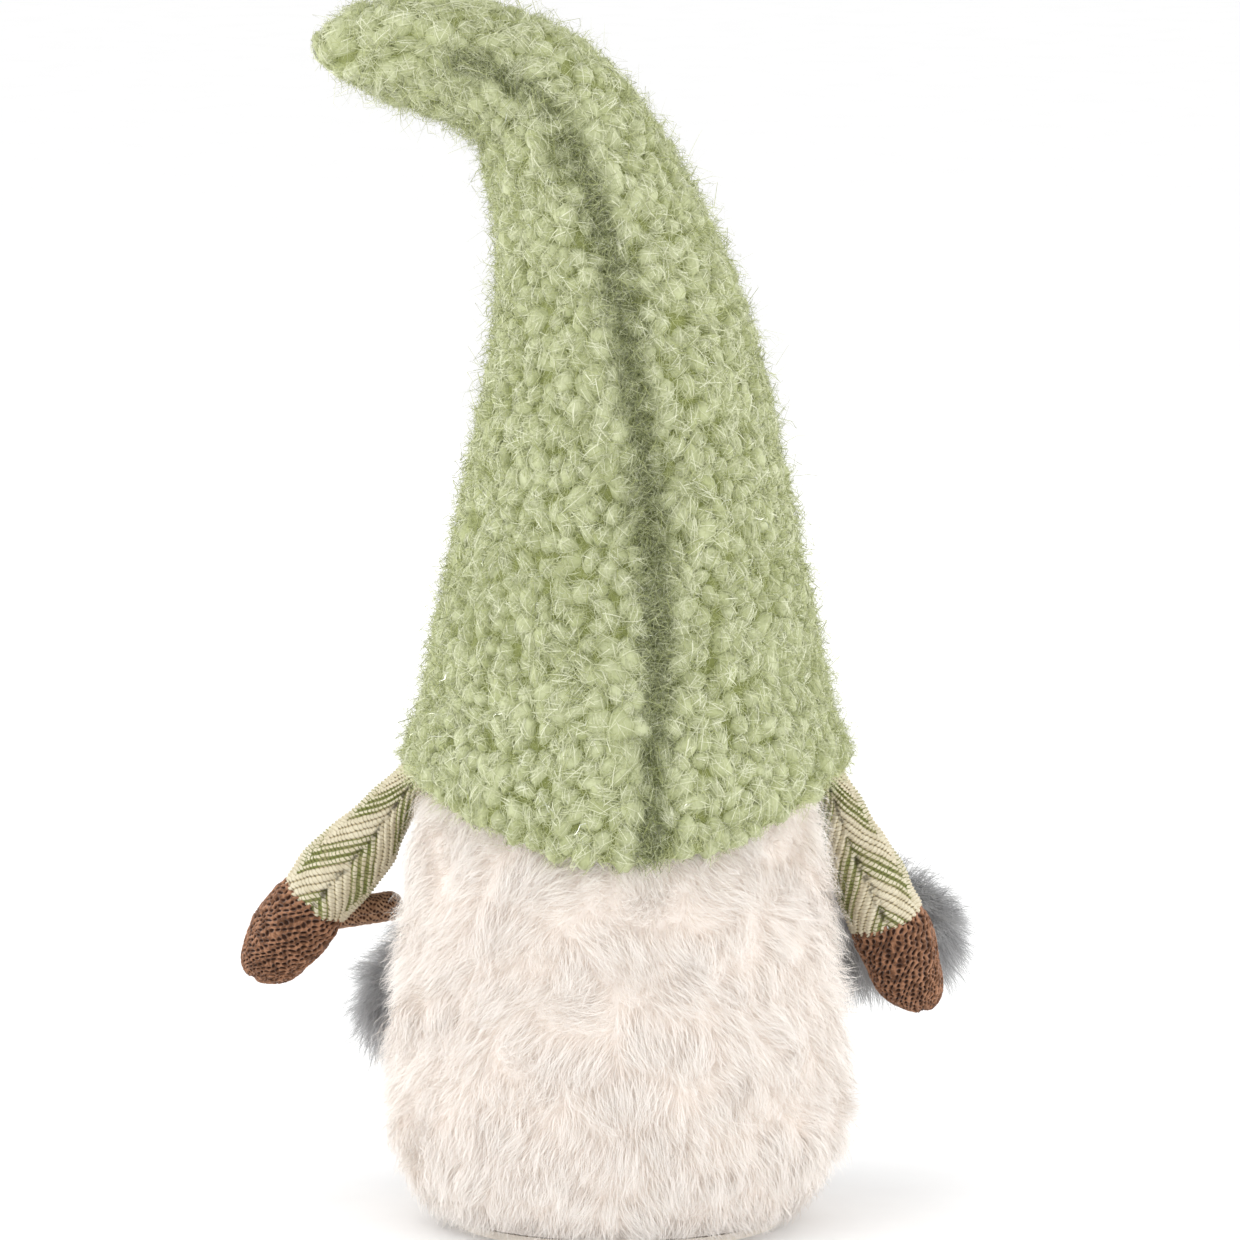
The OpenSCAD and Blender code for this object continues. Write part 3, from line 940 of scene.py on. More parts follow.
@dataclass
class Hat:
    """Looped-pile cone with a seam, loops, fuzz and tinsel; lengths in metres."""

    line: HatLine
    inset: float = 2.0 * MM
    seam_half: float = 6.0 * MM
    seam_depth: float = 1.7 * MM
    spacing: float = 4.2 * MM
    loop: float = 3.8 * MM
    bend_half: float = 16 * MM
    rings: int = 230
    around: int = 200
    fibres_per_loop: int = 52
    fibre_half: float = 0.095 * MM
    mat_fibres: int = 22000
    seam_fibres: int = 5500
    hem_fibres: int = 4000
    threads: int = 800
    tries: int = 30000
    seed: int = 11

    def groove(self, run: Array, turn: Array) -> Array:
        """Depth of the seam's channel.

        Args:
            run: distance from the hem.
            turn: angle in radians.

        Returns:
            The depth, which fades towards the tip.
        """
        away = self.line.from_seam(run, turn)
        fade = np.clip(1.6 - run / self.line.elbow_at, 0.0, 1)
        return self.seam_depth * fade * np.exp(-(away / self.seam_half) ** 2 * 1.3)

    def channel(self, run: Array) -> Array:
        """Half width of the strip that has few loops.

        Args:
            run: distance from the hem.

        Returns:
            The half width, uneven along the seam.
        """
        wave = np.sin(run / (9 * MM)) + np.sin(run / (5.3 * MM) + 1.0)
        share = run / self.line.length
        wide = self.seam_half * (0.5 + 0.24 * wave)
        return wide * np.clip(1.45 - 1.3 * share, 0.0, 1) * np.clip(share * 12, 0.3, 1)

    def bent(self, piece: bpy.types.Object) -> bpy.types.Object:
        """Bakes a piece's transform into its mesh.

        Args:
            piece: a piece of the hat.

        Returns:
            The piece.
        """
        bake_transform(piece)
        return piece

    def cloth(self) -> None:
        """The backing, closed over the top of the body."""
        line = self.line
        turn = np.linspace(0, 2 * math.pi, self.around, endpoint=False)
        run = np.linspace(0, 1, self.rings) ** 0.97 * line.length
        rr, tt = np.meshgrid(run, turn, indexing="ij")
        points, normals, _ = line.place(rr, tt, self.inset + self.groove(rr, tt))
        points += normals * (ripple(points, 9 * MM, 5)[..., None] * 0.15 * MM)
        inner_run = np.array([26, 14, 5, 0]) * MM
        ri, ti = np.meshgrid(inner_run, turn, indexing="ij")
        inner, _, _ = line.place(ri, ti, self.inset + 2.2 * MM)
        skin = Cloth()
        skin.grid(np.concatenate([inner, points]))
        finish = PileFinish("pile_backing", srgb(136, 143, 84), srgb(140, 147, 88), srgb(144, 151, 92),
                            srgb(122, 129, 74), 0.3, grain=0.4 * MM)
        piece = self.bent(skin.build("hat_cloth", finish.material()))
        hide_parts("hat_lower", "hat_tip")

    def spots(self, rng: np.random.Generator) -> tuple[Array, Array]:
        """Scatters places for the loops evenly.

        Args:
            rng: the source of chance.

        Returns:
            Their distances from the hem and their angles.
        """
        line = self.line
        runs = np.linspace(0.6 * MM, line.length, 900)
        r = np.interp(runs, line.run, line.r)
        area = np.cumsum((r + 4 * MM) * np.sqrt(1 + np.gradient(r, runs) ** 2) * np.where(runs < 24 * MM, 1.9, 1))
        tries = self.tries
        run = np.interp(rng.uniform(0, 1, tries), area / area[-1], runs)
        turn = rng.uniform(0, 2 * math.pi, tries)
        places, _, _ = line.place(run, turn, self.inset)
        away = line.from_seam(run, turn)
        near = np.where(away < self.channel(run), 1.55, 1.0) * self.spacing * rng.uniform(0.85, 1.25, tries)
        cells: dict[tuple[int, int, int], list[int]] = {}
        kept = []
        size = self.spacing * 2.8
        for i, place in enumerate(places):
            key = tuple(np.floor(place / size).astype(int))
            close = [k for dx in (-1, 0, 1) for dy in (-1, 0, 1) for dz in (-1, 0, 1)
                     for k in cells.get((key[0] + dx, key[1] + dy, key[2] + dz), ())]
            if close and np.min(np.sum((places[close] - place) ** 2, -1)) < near[i] ** 2:
                continue
            cells.setdefault(key, []).append(i)
            kept.append(i)
        return run[kept], turn[kept]

    def scatter(self) -> Beads:
        """Chooses every loop's place, direction, size and shade.

        Returns:
            The loops.
        """
        rng = np.random.default_rng(self.seed)
        line = self.line
        run, turn = self.spots(rng)
        n = len(run)
        away = line.from_seam(run, turn)
        beside = np.exp(-((away - 1.2 * self.seam_half) / (0.45 * self.seam_half)) ** 2)
        inside = away < self.channel(run)
        size = self.loop * rng.uniform(0.72, 1.22, n) * (1 + 0.14 * beside) * np.where(inside, 0.72, 1)
        depth = size * rng.uniform(0.8, 1.15, n) + self.groove(run, turn) - 0.6 * MM * beside
        centre, normal, ahead = line.place(run, turn, depth)
        across = unit(np.cross(ahead, normal))
        swing = rng.normal(0, 0.7, n)[:, None]
        long_way = unit(ahead * np.cos(swing) + across * np.sin(swing))
        axes = np.stack([long_way, unit(np.cross(normal, long_way)), normal], 1)
        half = size[:, None] * np.stack([rng.uniform(1.0, 1.5, n), rng.uniform(0.85, 1.0, n),
                                         rng.uniform(0.9, 1.05, n)], -1)
        # Painted shade and light: loops in the seam's channel lean to the darker colour, loops beside it to the
        # paler ones.
        shade = np.clip(rng.normal(0.45, 0.26, n) + np.where(inside, 0.3, 0) - 0.3 * beside, 0.02, 0.98)
        return Beads(centre, axes, half, run, shade)

    def loops(self, beads: Beads) -> None:
        """The loops' soft middles, in a few pieces.

        Args:
            beads: the loops.
        """
        rng = np.random.default_rng(self.seed + 4)
        template, faces = self.ball()
        n = len(beads.run)
        phase = rng.uniform(0, 2 * math.pi, (3, n, 1))
        x, y, z = template[None, :, 0], template[None, :, 1], template[None, :, 2]
        lumps = (0.96 + 0.09 * np.sin(3.4 * x + phase[0]) + 0.09 * np.sin(3.8 * y + phase[1])
                 + 0.06 * np.sin(4.5 * z + phase[2]))
        ways = np.repeat(template[None], n, 0)
        ways[..., 1] += rng.uniform(-0.3, 0.3, n)[:, None] * (x * x - 0.4)
        points = beads.shaped(np.arange(n), ways, lumps[..., None])
        # Painted shade: each loop's colour runs from dark on its side towards the cloth to pale at its top.
        height = (template[:, 2] + 1) / 2
        finish = PileFinish("looped_pile", srgb(142, 150, 86), srgb(182, 189, 136), srgb(206, 211, 172),
                            srgb(166, 173, 118), 0.7, sheen=0.3, grain=0.7 * MM).material()
        for k, part in enumerate(np.array_split(np.argsort(beads.run), 3)):
            skin = Cloth()
            index = np.arange(len(part))[:, None, None] * len(template) + faces[None]
            coords = np.empty((*index.shape, 2))
            coords[..., 0] = beads.shade[part][:, None, None]
            coords[..., 1] = height[faces][None]
            skin.add(points[part], index, coords)
            self.bent(skin.build(f"hat_loops_{k + 1}", finish))

    @staticmethod
    def ball(cuts: int = 3) -> tuple[Array, Array]:
        """A ball made from a cube's six faces, each cut into squares.

        Args:
            cuts: squares along a face's edge.

        Returns:
            Its points and its faces.
        """
        line = np.tan(np.linspace(-1, 1, cuts + 1) * math.pi / 4)
        points, faces, seen = [], [], {}
        for axis in range(3):
            for sign in (-1, 1):
                grid = np.zeros((cuts + 1, cuts + 1), int)
                for i, a in enumerate(line):
                    for j, b in enumerate(line):
                        p = np.zeros(3)
                        p[axis], p[(axis + 1) % 3], p[(axis + 2) % 3] = sign, a * sign, b
                        p = unit(p)
                        key = tuple(np.round(p, 5))
                        if key not in seen:
                            seen[key] = len(points)
                            points.append(p)
                        grid[i, j] = seen[key]
                for i in range(cuts):
                    for j in range(cuts):
                        faces.append([grid[i, j], grid[i + 1, j], grid[i + 1, j + 1], grid[i, j + 1]])
        return np.array(points), np.array(faces)

    def curls(self, beads: Beads) -> None:
        """Fine fibres wound round every loop, some with loose ends.

        Args:
            beads: the loops.
        """
        rng = np.random.default_rng(self.seed + 1)
        finish = PileFinish("pile_fibres", srgb(148, 156, 90), srgb(202, 208, 158), srgb(236, 238, 214),
                            srgb(162, 168, 110), 0.85, sheen=0.3).material()
        t = np.linspace(0, 1, 5)[None, :, None]
        for k, part in enumerate(np.array_split(np.argsort(beads.run), 6)):
            pick = np.repeat(part, self.fibres_per_loop)
            n = len(pick)
            first = unit(np.array([0, 0, 0.75]) + 0.8 * rng.normal(size=(n, 3)))
            onward = unit(np.cross(first, rng.normal(size=(n, 3))))
            angle = rng.uniform(0.8, 2.3, n)[:, None, None]
            ways = first[:, None] * np.cos(angle * t) + onward[:, None] * np.sin(angle * t)
            loose = rng.uniform(0, 1, n)[:, None, None] ** 3 * 0.5
            out = 1.0 + rng.uniform(0.0, 0.22, n)[:, None, None] + loose * t * t
            path = beads.shaped(pick, ways, out)
            forward = np.gradient(path, axis=1)
            outward = beads.shaped(pick, ways, 2.0) - path
            side = unit(np.cross(forward, outward)) * self.fibre_half * rng.uniform(0.6, 1.4, n)[:, None, None]
            side = side * (1 - 0.6 * t * t)
            # Painted shade: fibres on a loop's lower side take the darker colours.
            high = np.clip((ways[..., 2] + 0.35) / 1.35, 0, 1)
            strips = Combing.woven(np.stack([path - side, path + side], 2), rng, high)
            self.bent(strips.build(f"hat_fibres_{k + 1}", finish))

    def mat_places(self, rng: np.random.Generator) -> tuple[Array, Array]:
        """Scatters the matted fibres evenly over the hat.

        Args:
            rng: the source of chance.

        Returns:
            Their distances from the hem and their angles.
        """
        line, n = self.line, self.mat_fibres
        runs = np.linspace(0.005, 0.985, 300) * line.length
        weight = np.cumsum(np.interp(runs, line.run, line.r))
        run = np.interp(rng.uniform(0, 1, n), weight / weight[-1], runs)
        return run, rng.uniform(0, 2 * math.pi, n)

    def seam_places(self, rng: np.random.Generator) -> tuple[Array, Array]:
        """Scatters the seam's fibres along its channel.

        Args:
            rng: the source of chance.

        Returns:
            Their distances from the hem and their angles.
        """
        line, n = self.line, self.seam_fibres
        run = rng.uniform(0, 1, n) ** 1.2 * line.length * 0.86
        r = np.interp(run, line.run, line.r)
        wide = 0.35 + 0.9 * self.channel(run) / self.seam_half
        turn = line.seam_turn(run) + rng.normal(0, 0.6, n) * wide * self.seam_half / np.maximum(r, 8 * MM)
        return run, turn

    def mat(self) -> None:
        """Matted fibres between the loops and in the seam's channel; their darker roots, darker still in the
        channel, are painted shade.
        """
        rng = np.random.default_rng(self.seed + 2)
        between = self.mat_places(rng)
        in_seam = self.seam_places(rng)
        # Painted shade: the mat's roots, deep among the loops, take the darker colours.
        pale = PileFinish("mat_fibres", srgb(158, 165, 102), srgb(204, 209, 158), srgb(232, 235, 202),
                          srgb(150, 157, 98), 0.75, sheen=0.2)
        # Painted shadow: the seam fibres' darker colours stand for shade in the seam's channel.
        dark = PileFinish("seam_fibres", srgb(130, 138, 84), srgb(190, 196, 146), srgb(236, 239, 208),
                          srgb(108, 116, 68), 0.9, sheen=0.2)
        for name, (run, turn), depth, width, finish in (("hat_mat", between, 1.9 * MM, 0.17 * MM, pale),
                                                        ("hat_seam_fibres", in_seam, 3.2 * MM, 0.2 * MM, dark)):
            roots, normal, ahead = self.line.place(run, turn, depth)
            across = unit(np.cross(ahead, normal))
            count = len(run)
            flow = ahead * rng.normal(0, 1, count)[:, None] + across * rng.normal(0, 1, count)[:, None]
            comb = Combing(8 * MM, width, rise=0.6, droop=0.0, stray=0.5, curl=0.36, clump=0.3, per_clump=10)
            self.bent(comb.strands(roots, normal, flow, rng).build(name, finish.material()))

    def hem(self) -> None:
        """Loose fluff that hangs from the hem over the body."""
        rng = np.random.default_rng(self.seed + 5)
        n = self.hem_fibres
        turn = rng.uniform(0, 2 * math.pi, n)
        run = rng.uniform(0.1, 3.5, n) * MM
        roots, normal, ahead = self.line.place(run, turn, rng.uniform(1.5, 4.5, n) * MM)
        flow = -ahead * rng.uniform(0.1, 0.9, n)[:, None] + 0.3 * normal
        comb = Combing(6.0 * MM, 0.18 * MM, rise=0.5, droop=0.1, stray=0.5, curl=0.2, clump=0.65, per_clump=26,
                       spread=0.6)
        finish = PileFinish("hem_fibres", srgb(168, 175, 116), srgb(204, 209, 156), srgb(228, 231, 192),
                            srgb(176, 182, 126), 0.6, sheen=0.3)
        self.bent(comb.strands(roots, normal, flow, rng).build("hat_hem_fluff", finish.material()))

    def tinsel(self, beads: Beads) -> None:
        """Thin glinting threads caught among the loops.

        Args:
            beads: the loops.
        """
        rng = np.random.default_rng(self.seed + 3)
        pick = rng.integers(0, len(beads.run), self.threads)
        ways = unit(np.array([0, 0, 1.0]) + 0.5 * rng.normal(size=(len(pick), 3)))
        roots = beads.shaped(pick, ways[:, None], 0.95)[:, 0]
        out = unit(roots - beads.centre[pick])
        flow = unit(np.cross(out, rng.normal(size=(len(pick), 3))))
        comb = Combing(4.0 * MM, 0.22 * MM, rise=0.35, droop=0.0, stray=0.3, curl=0.1, clump=0, steps=3)
        self.bent(comb.strands(roots, out, flow, rng).build("hat_tinsel", TinselFinish().material()))

    def build(self) -> None:
        """Makes the whole hat."""
        self.cloth()
        beads = self.scatter()
        log.info("%d loops", len(beads.run))
        self.loops(beads)
        self.curls(beads)
        self.mat()
        self.hem()
        self.tinsel(beads)


# ---------------------------------------------------------------- the body


@dataclass
class BodyLine:
    """The body's outer shape, as its CAD solid has it, in metres."""

    body_r: float
    top_z: float
    belly_z: float = 34 * MM
    base_r: float = 46 * MM
    shoulder_r: float = 56.5 * MM
    shoulder_z: float = 122 * MM
    rows: int = 60

    def __post_init__(self) -> None:
        """Works out the outline from the flat bottom to the top."""
        u = np.linspace(0, 1, self.rows)
        quarter = u * math.pi / 2
        foot = np.stack([self.base_r + (self.body_r - self.base_r) * np.sin(quarter),
                         self.belly_z * (1 - np.cos(quarter))], -1)
        side = np.stack([self.shoulder_r + (self.body_r - self.shoulder_r) * np.cos(quarter),
                         self.belly_z + (self.shoulder_z - self.belly_z) * u], -1)[1:]
        dome = np.stack([self.shoulder_r * np.cos(quarter),
                         self.shoulder_z + (self.top_z - self.shoulder_z) * np.sin(quarter)], -1)[1:]
        outline = np.concatenate([foot, side, dome])
        run = np.concatenate([[0], np.cumsum(np.linalg.norm(np.diff(outline, axis=0), axis=1))])
        self.run, self.r, self.z = run, outline[:, 0], outline[:, 1]
        tangent = unit(np.gradient(outline, run, axis=0))
        self.out_r, self.out_z = tangent[:, 1], -tangent[:, 0]
        self.shoulder_run = float(run[2 * self.rows - 2])

    def place(self, run: Array, turn: Array, inset: Array | float) -> tuple[Array, Array]:
        """Places on the body.

        Args:
            run: distance along the outline from the edge of the flat bottom.
            turn: angle in radians, with the back at a quarter turn.
            inset: depth below the outer shape.

        Returns:
            The places and their outward directions.
        """
        r, z = np.interp(run, self.run, self.r), np.interp(run, self.run, self.z)
        nr, nz = np.interp(run, self.run, self.out_r), np.interp(run, self.run, self.out_z)
        c, s = np.cos(turn), np.sin(turn)
        normal = unit(np.stack([c * nr, s * nr, nz], -1))
        return np.stack([c * r, s * r, z], -1) - normal * np.asarray(inset)[..., None], normal

    def radius(self, z: Array) -> Array:
        """Radius at a height below the shoulder."""
        below = slice(self.rows, 2 * self.rows - 1)
        return np.interp(z, self.z[below], self.r[below])


@dataclass
class Body:
    """Long-pile fur cover on a flat base."""

    line: BodyLine
    pile: float = 5.0 * MM
    fibres: int = 98000
    whorl: tuple[float, float] = (-9 * MM, 78 * MM)
    whorl_size: float = 38 * MM
    crease_z: float = 22 * MM
    cover_low: float = 1.0 * MM
    bottom_z: float = 2.4 * MM
    above_floor: float = 0.25 * MM
    seed: int = 21

    def lumps(self, points: Array) -> Array:
        """Soft unevenness of the stuffing."""
        crease = np.exp(-((points[..., 2] - self.crease_z) / (2.2 * MM)) ** 2) * (points[..., 1] > 0)
        return ripple(points, 38 * MM, 3) * 0.6 * MM - crease * 0.8 * MM

    def cover(self) -> None:
        """The fur's backing, closed at the bottom."""
        turn = np.linspace(0, 2 * math.pi, 160, endpoint=False)
        run = np.linspace(0, 0.995, 130) * self.line.run[-1]
        rr, tt = np.meshgrid(run, turn, indexing="ij")
        points, normals = self.line.place(rr, tt, self.pile)
        points = points + normals * self.lumps(points)[..., None]
        points[..., 2] = np.maximum(points[..., 2], self.cover_low)
        points[0, :, 2] = self.bottom_z
        skin = Cloth()
        skin.grid(points)
        finish = PileFinish("fur_backing", srgb(246, 237, 229), srgb(248, 240, 233), srgb(250, 243, 237),
                            srgb(244, 233, 223), 0.3, grain=0.4 * MM)
        piece = on_body(skin.build("body_cover", finish.material()), Slot.CREAM_FUR, "body_skin")

    def flow(self, points: Array, normals: Array) -> Array:
        """The way the fur lies: down, and away from a parting in the middle of the back.

        Args:
            points: (n, 3) places.
            normals: (n, 3) outward directions.

        Returns:
            (n, 3) directions along the surface.
        """
        down = np.zeros_like(points)
        down[:, 2] = -1.0
        side = unit(np.cross(normals, np.array([0.0, 0.0, 1.0])))
        across = np.where(points[:, 1] > 0, points[:, 0] - self.whorl[0], 60 * MM)
        rise = points[:, 2] - self.whorl[1]
        near = np.exp(-(across ** 2 + (rise * 0.8) ** 2) / (2 * self.whorl_size ** 2))
        far = np.hypot(across, rise) + 16 * MM
        away = np.zeros_like(points)
        away[:, 0], away[:, 2] = across / far, rise / far
        swirl = ripple(points, 24 * MM, self.seed)[:, None] * 0.42 * side
        flow = down * (1 - 0.45 * near)[:, None] + away * (0.75 * near)[:, None] + swirl
        flow += 0.12 * ripple(points, 15 * MM, self.seed + 1)[:, None] * np.array([0, 0, 1.0])
        flow -= normals * np.sum(flow * normals, -1, keepdims=True)
        return unit(flow)

    def fur(self) -> None:
        """The long pile, in quarters round the body."""
        rng = np.random.default_rng(self.seed)
        line = self.line
        top = line.shoulder_run + 4 * MM
        share = rng.uniform(0, 1, self.fibres)
        runs = np.linspace(0.3 * MM, top, 400)
        weight = np.cumsum(np.interp(runs, line.run, line.r))
        run = np.interp(share, weight / weight[-1], runs)
        turn = rng.uniform(0, 2 * math.pi, self.fibres)
        roots, normals = line.place(run, turn, self.pile)
        roots = roots + normals * self.lumps(roots)[:, None]
        flow = self.flow(roots, normals)
        low = np.clip(roots[:, 2] / (26 * MM), 0.62, 1)
        finish = PileFinish("long_fur", srgb(243, 231, 221), srgb(249, 243, 237), srgb(252, 249, 245),
                            srgb(246, 237, 229), 0.4, sheen=0.3).material()
        comb = Combing(11 * MM, 0.15 * MM, rise=0.85, droop=0.06, stray=0.26, curl=0.02, clump=0.6, per_clump=170,
                       spread=0.42)
        for k in range(4):
            part = (turn >= k * math.pi / 2) & (turn < (k + 1) * math.pi / 2)
            strands = comb.strands(roots[part], normals[part], flow[part], rng, low[part])
            strands.points[0][:, 2] = np.maximum(strands.points[0][:, 2], self.above_floor)
            on_body(strands.build(f"body_fur_{k + 1}", finish), Slot.CREAM_FUR)

    def build(self) -> None:
        """Makes the cover and its fur."""
        self.cover()
        self.fur()


# ---------------------------------------------------------------- the arms


@dataclass
class Arm:
    """A herringbone sleeve with a knitted mitten and thumb; lengths in metres."""

    side: Side
    pivot: Array
    rest_deg: float
    lean_deg: float = 6.0
    sleeve: float = 40.5 * MM
    mitten: float = 28 * MM
    cuff_r: float = 10.6 * MM
    mitten_r: float = 10.9 * MM
    root_half: tuple[float, float] = (3.0 * MM, 8.0 * MM)
    outer_root: float = 5.6 * MM
    inner_root: float = 6.5 * MM
    tucked: float = 10 * MM
    thumb_r: float = 4.2 * MM
    thumb_at: float = 47 * MM
    join: float = 40.3 * MM
    under_cuff: float = 37.5 * MM
    thumb_start: float = 6.5 * MM
    thumb_reach: float = 30.6 * MM
    sewn_run: tuple[float, float] = (-4 * MM, 10 * MM)
    around: int = 168

    @property
    def turns_round(self) -> Array:
        """Angles round the arm, with the seam at the back in their middle."""
        return math.pi / 2 + (np.arange(self.around) / self.around - 0.5) * 2 * math.pi

    @property
    def body(self) -> str:
        """The body that the arm's pieces ride on."""
        return "left_arm" if self.side is Side.LEFT else "right_arm"

    @property
    def word(self) -> str:
        """left or right."""
        return self.side.name.lower()

    def to_rest(self) -> Matrix:
        """From the hanging arm's own space to the arm at rest.

        Returns:
            The move.
        """
        turn = Matrix.Rotation(math.radians(-self.side.value * self.rest_deg), 4, "Y")
        lean = Matrix.Rotation(math.radians(-self.lean_deg), 4, "X")
        return Matrix.Translation(Vector(self.pivot)) @ turn @ lean

    def finish_piece(self, skin: Cloth, name: str, material: bpy.types.Material,
                     node: str, sewn: bool = False) -> None:
        """Args:
            skin: its surface in the hanging arm's space.
            name: the piece's name after the side's word.
            material: its finish.
            node: the CAD node after the side's word.
            sewn: whether its root stays on the body.
        """
        matrix = np.array(self.to_rest())
        skin.points = [p @ matrix[:3, :3].T + matrix[:3, 3] for p in skin.points]
        piece = skin.build(f"{self.word}_{name}", material)
        if sewn:
            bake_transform(piece)
        else:
            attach(piece, self.body)
        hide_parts(f"{self.word}_{node}")

    @staticmethod
    def ring(s: Array, half_x: Array, half_y: Array, turn: Array) -> tuple[Array, Array]:
        """Rings of the hanging arm.

        Args:
            s: distances down the arm.
            half_x: half widths at each.
            half_y: half depths at each.
            turn: angles round the arm.

        Returns:
            Places and outward directions, (len(s), len(turn), 3).
        """
        c, sn = np.cos(turn)[None], np.sin(turn)[None]
        points = np.stack([half_x[:, None] * c, half_y[:, None] * sn, -s[:, None] + 0 * c], -1)
        normal = unit(np.stack([half_y[:, None] * c, half_x[:, None] * sn, 0 * s[:, None] + 0 * c], -1))
        return points, normal

    def build_sleeve(self) -> None:
        """The sleeve, with ribs and stitches raised from the cloth and a puckered seam at the back."""
        weave = Herringbone()
        length = self.sleeve
        s = np.linspace(-self.tucked, length, 250)
        t = np.clip(s / (0.8 * 40 * MM), 0, 1)
        grow = np.sin(t * math.pi / 2)
        half = [a + (self.cuff_r - a) * grow for a in self.root_half]
        outer, inner_side = (np.maximum(half[0], a + (self.cuff_r - a) * np.clip(s / b, -0.3, 1))
                             for a, b in ((self.outer_root, 34 * MM), (self.inner_root, 16 * MM)))
        turn = self.turns_round
        points, normal = self.ring(s, (inner_side + outer) / 2, half[1], turn)
        points[..., 0] += self.side.value * ((outer - inner_side) / 2)[:, None]
        girth = 2 * math.pi * self.cuff_r
        across = ((np.arange(self.around) / self.around - 0.5) * girth)[None] + 0 * s[:, None]
        along = (s - s[0])[:, None] + 0 * across
        rib, stitch, _ = weave.parts(across, along)
        raised = (rib * 0.3 + rib * stitch * 0.6 - 0.45) * MM
        gather = 0.75 + 0.35 * np.sin(along / (5.3 * MM) * 2 * math.pi + 3 * np.sin(across / (3 * MM)))
        pucker = np.exp(-(across / (2.0 * MM)) ** 2) * gather * 1.2 * MM
        soft = ripple(points, 17 * MM, 40 + self.side.value) * 0.45 * MM
        edge = np.exp(-((s - s[-1]) / (1.2 * MM)) ** 2)[:, None] * 0.7 * MM
        points = points + normal * (raised - pucker + soft - edge)[..., None]
        inner_s = np.array([length - 0.4 * MM, length - 3 * MM])
        inner, _ = self.ring(inner_s, np.full(2, self.cuff_r - 2.2 * MM), np.full(2, self.cuff_r - 2.2 * MM), turn)
        rings = np.concatenate([points, inner])[::-1]
        skin = Cloth()
        skin.grid(rings)
        rows = len(rings) - 1
        for block in skin.coords:
            block[..., 1] = np.clip((rows - block[..., 1] * rows) / (len(s) - 1), 0, 1)
        finish = SleeveFinish(weave, girth, float(s[-1] - s[0]))
        self.finish_piece(skin, "sleeve_cloth", finish.material(), "sleeve", sewn=True)

    def build_mitten(self) -> None:
        """The mitten, with raised stitches and gathers at the cuff and tip."""
        stitch = Knit()
        start, stop = self.under_cuff, self.join + self.mitten
        p = np.linspace(0, 1, 200)
        s = start + (stop - start) * (1 - (1 - p) ** 1.25)
        t = np.clip((s - self.join) / self.mitten, 0, 1)
        full = self.cuff_r + (self.mitten_r - self.cuff_r) * np.clip(3 * t, 0, 1)
        r = full * np.sqrt(np.maximum(1 - t ** 3.2, 0.0004))
        hidden = np.clip((self.join - s) / (2.8 * MM), 0, 1)
        r -= 2.0 * MM * hidden + 0.5 * MM * np.exp(-((s - 41 * MM) / (1.4 * MM)) ** 2)
        turn = self.turns_round
        points, normal = self.ring(s, r, r, turn)
        slope = np.gradient(r, s)
        normal[..., 2] += slope[:, None]
        normal = unit(normal)
        run = np.concatenate([[0], np.cumsum(np.hypot(np.diff(r), np.diff(s)))])
        turns = round(2 * math.pi * self.mitten_r / stitch.wide)
        rows = float(run[-1] / stitch.row)
        u = (np.arange(self.around) / self.around)[None] + 0 * s[:, None]
        v = (np.arange(len(s)) / (len(s) - 1))[:, None] + 0 * u
        height = stitch.height(u * turns, v * rows)
        fade = np.clip(r / (3.5 * MM), 0.15, 1)[:, None]
        across = (u - 0.5) * 2 * math.pi * r[:, None]
        ends = np.exp(-((s - 42 * MM) / (5 * MM)) ** 2) + 0.5 * np.exp(-((s - stop) / (5 * MM)) ** 2)
        pucker = np.exp(-(across / (1.0 * MM)) ** 2) * ends[:, None] * 1.1 * MM
        soft = ripple(points, 15 * MM, 60 + self.side.value) * 0.4 * MM
        points = points + normal * ((height * 0.95 - 0.55) * MM * fade - pucker + soft * fade)[..., None]
        skin = Cloth()
        skin.grid(points[::-1])
        for block in skin.coords:
            block[..., 1] = 1 - block[..., 1]
        finish = KnitFinish(stitch, f"{self.word}_mitten_knit", turns, rows)
        self.finish_piece(skin, "mitten_knit", finish.material(), "mitten")

    def build_thumb(self) -> None:
        """The thumb: a folded knitted tube with a seam along it."""
        stitch = Knit(1.7 * MM, 0.95 * MM)
        inwards = self.side is Side.LEFT
        flat = math.radians(206 if inwards else -62)
        rise = math.radians(50 if inwards else 40)
        way = Vector((math.sin(rise) * math.cos(flat), math.sin(rise) * math.sin(flat), math.cos(rise)))
        reach = self.thumb_reach
        s = np.linspace(self.thumb_start, reach, 110)
        end = np.clip((s - (reach - self.thumb_r)) / self.thumb_r, 0, 1)
        r = self.thumb_r * np.sqrt(np.maximum(1 - end ** 2, 0.001))
        n = 72
        turn = np.arange(n) / n * 2 * math.pi
        up = Vector((0, 0, 1))
        wide = way.cross(up).normalized()
        tall = wide.cross(way).normalized()
        c, sn = np.cos(turn)[None, :, None], np.sin(turn)[None, :, None]
        out = np.array(wide) * c + np.array(tall) * sn
        turns = round(2 * math.pi * self.thumb_r / stitch.wide)
        rows = (reach - s[0]) / stitch.row
        u = (np.arange(n) / n)[None] + 0 * s[:, None]
        v = (np.arange(len(s)) / (len(s) - 1))[:, None] + 0 * u
        height = stitch.height(u * turns, v * rows)
        fold = np.exp(-(np.minimum(u, 1 - u) * 2 * math.pi * self.thumb_r / (0.7 * MM)) ** 2)
        fold += np.exp(-((u - 0.5) * 2 * math.pi * self.thumb_r / (0.7 * MM)) ** 2)
        middle = np.array([0, 0, -self.thumb_at])[None, None] + np.array(way) * s[:, None, None]
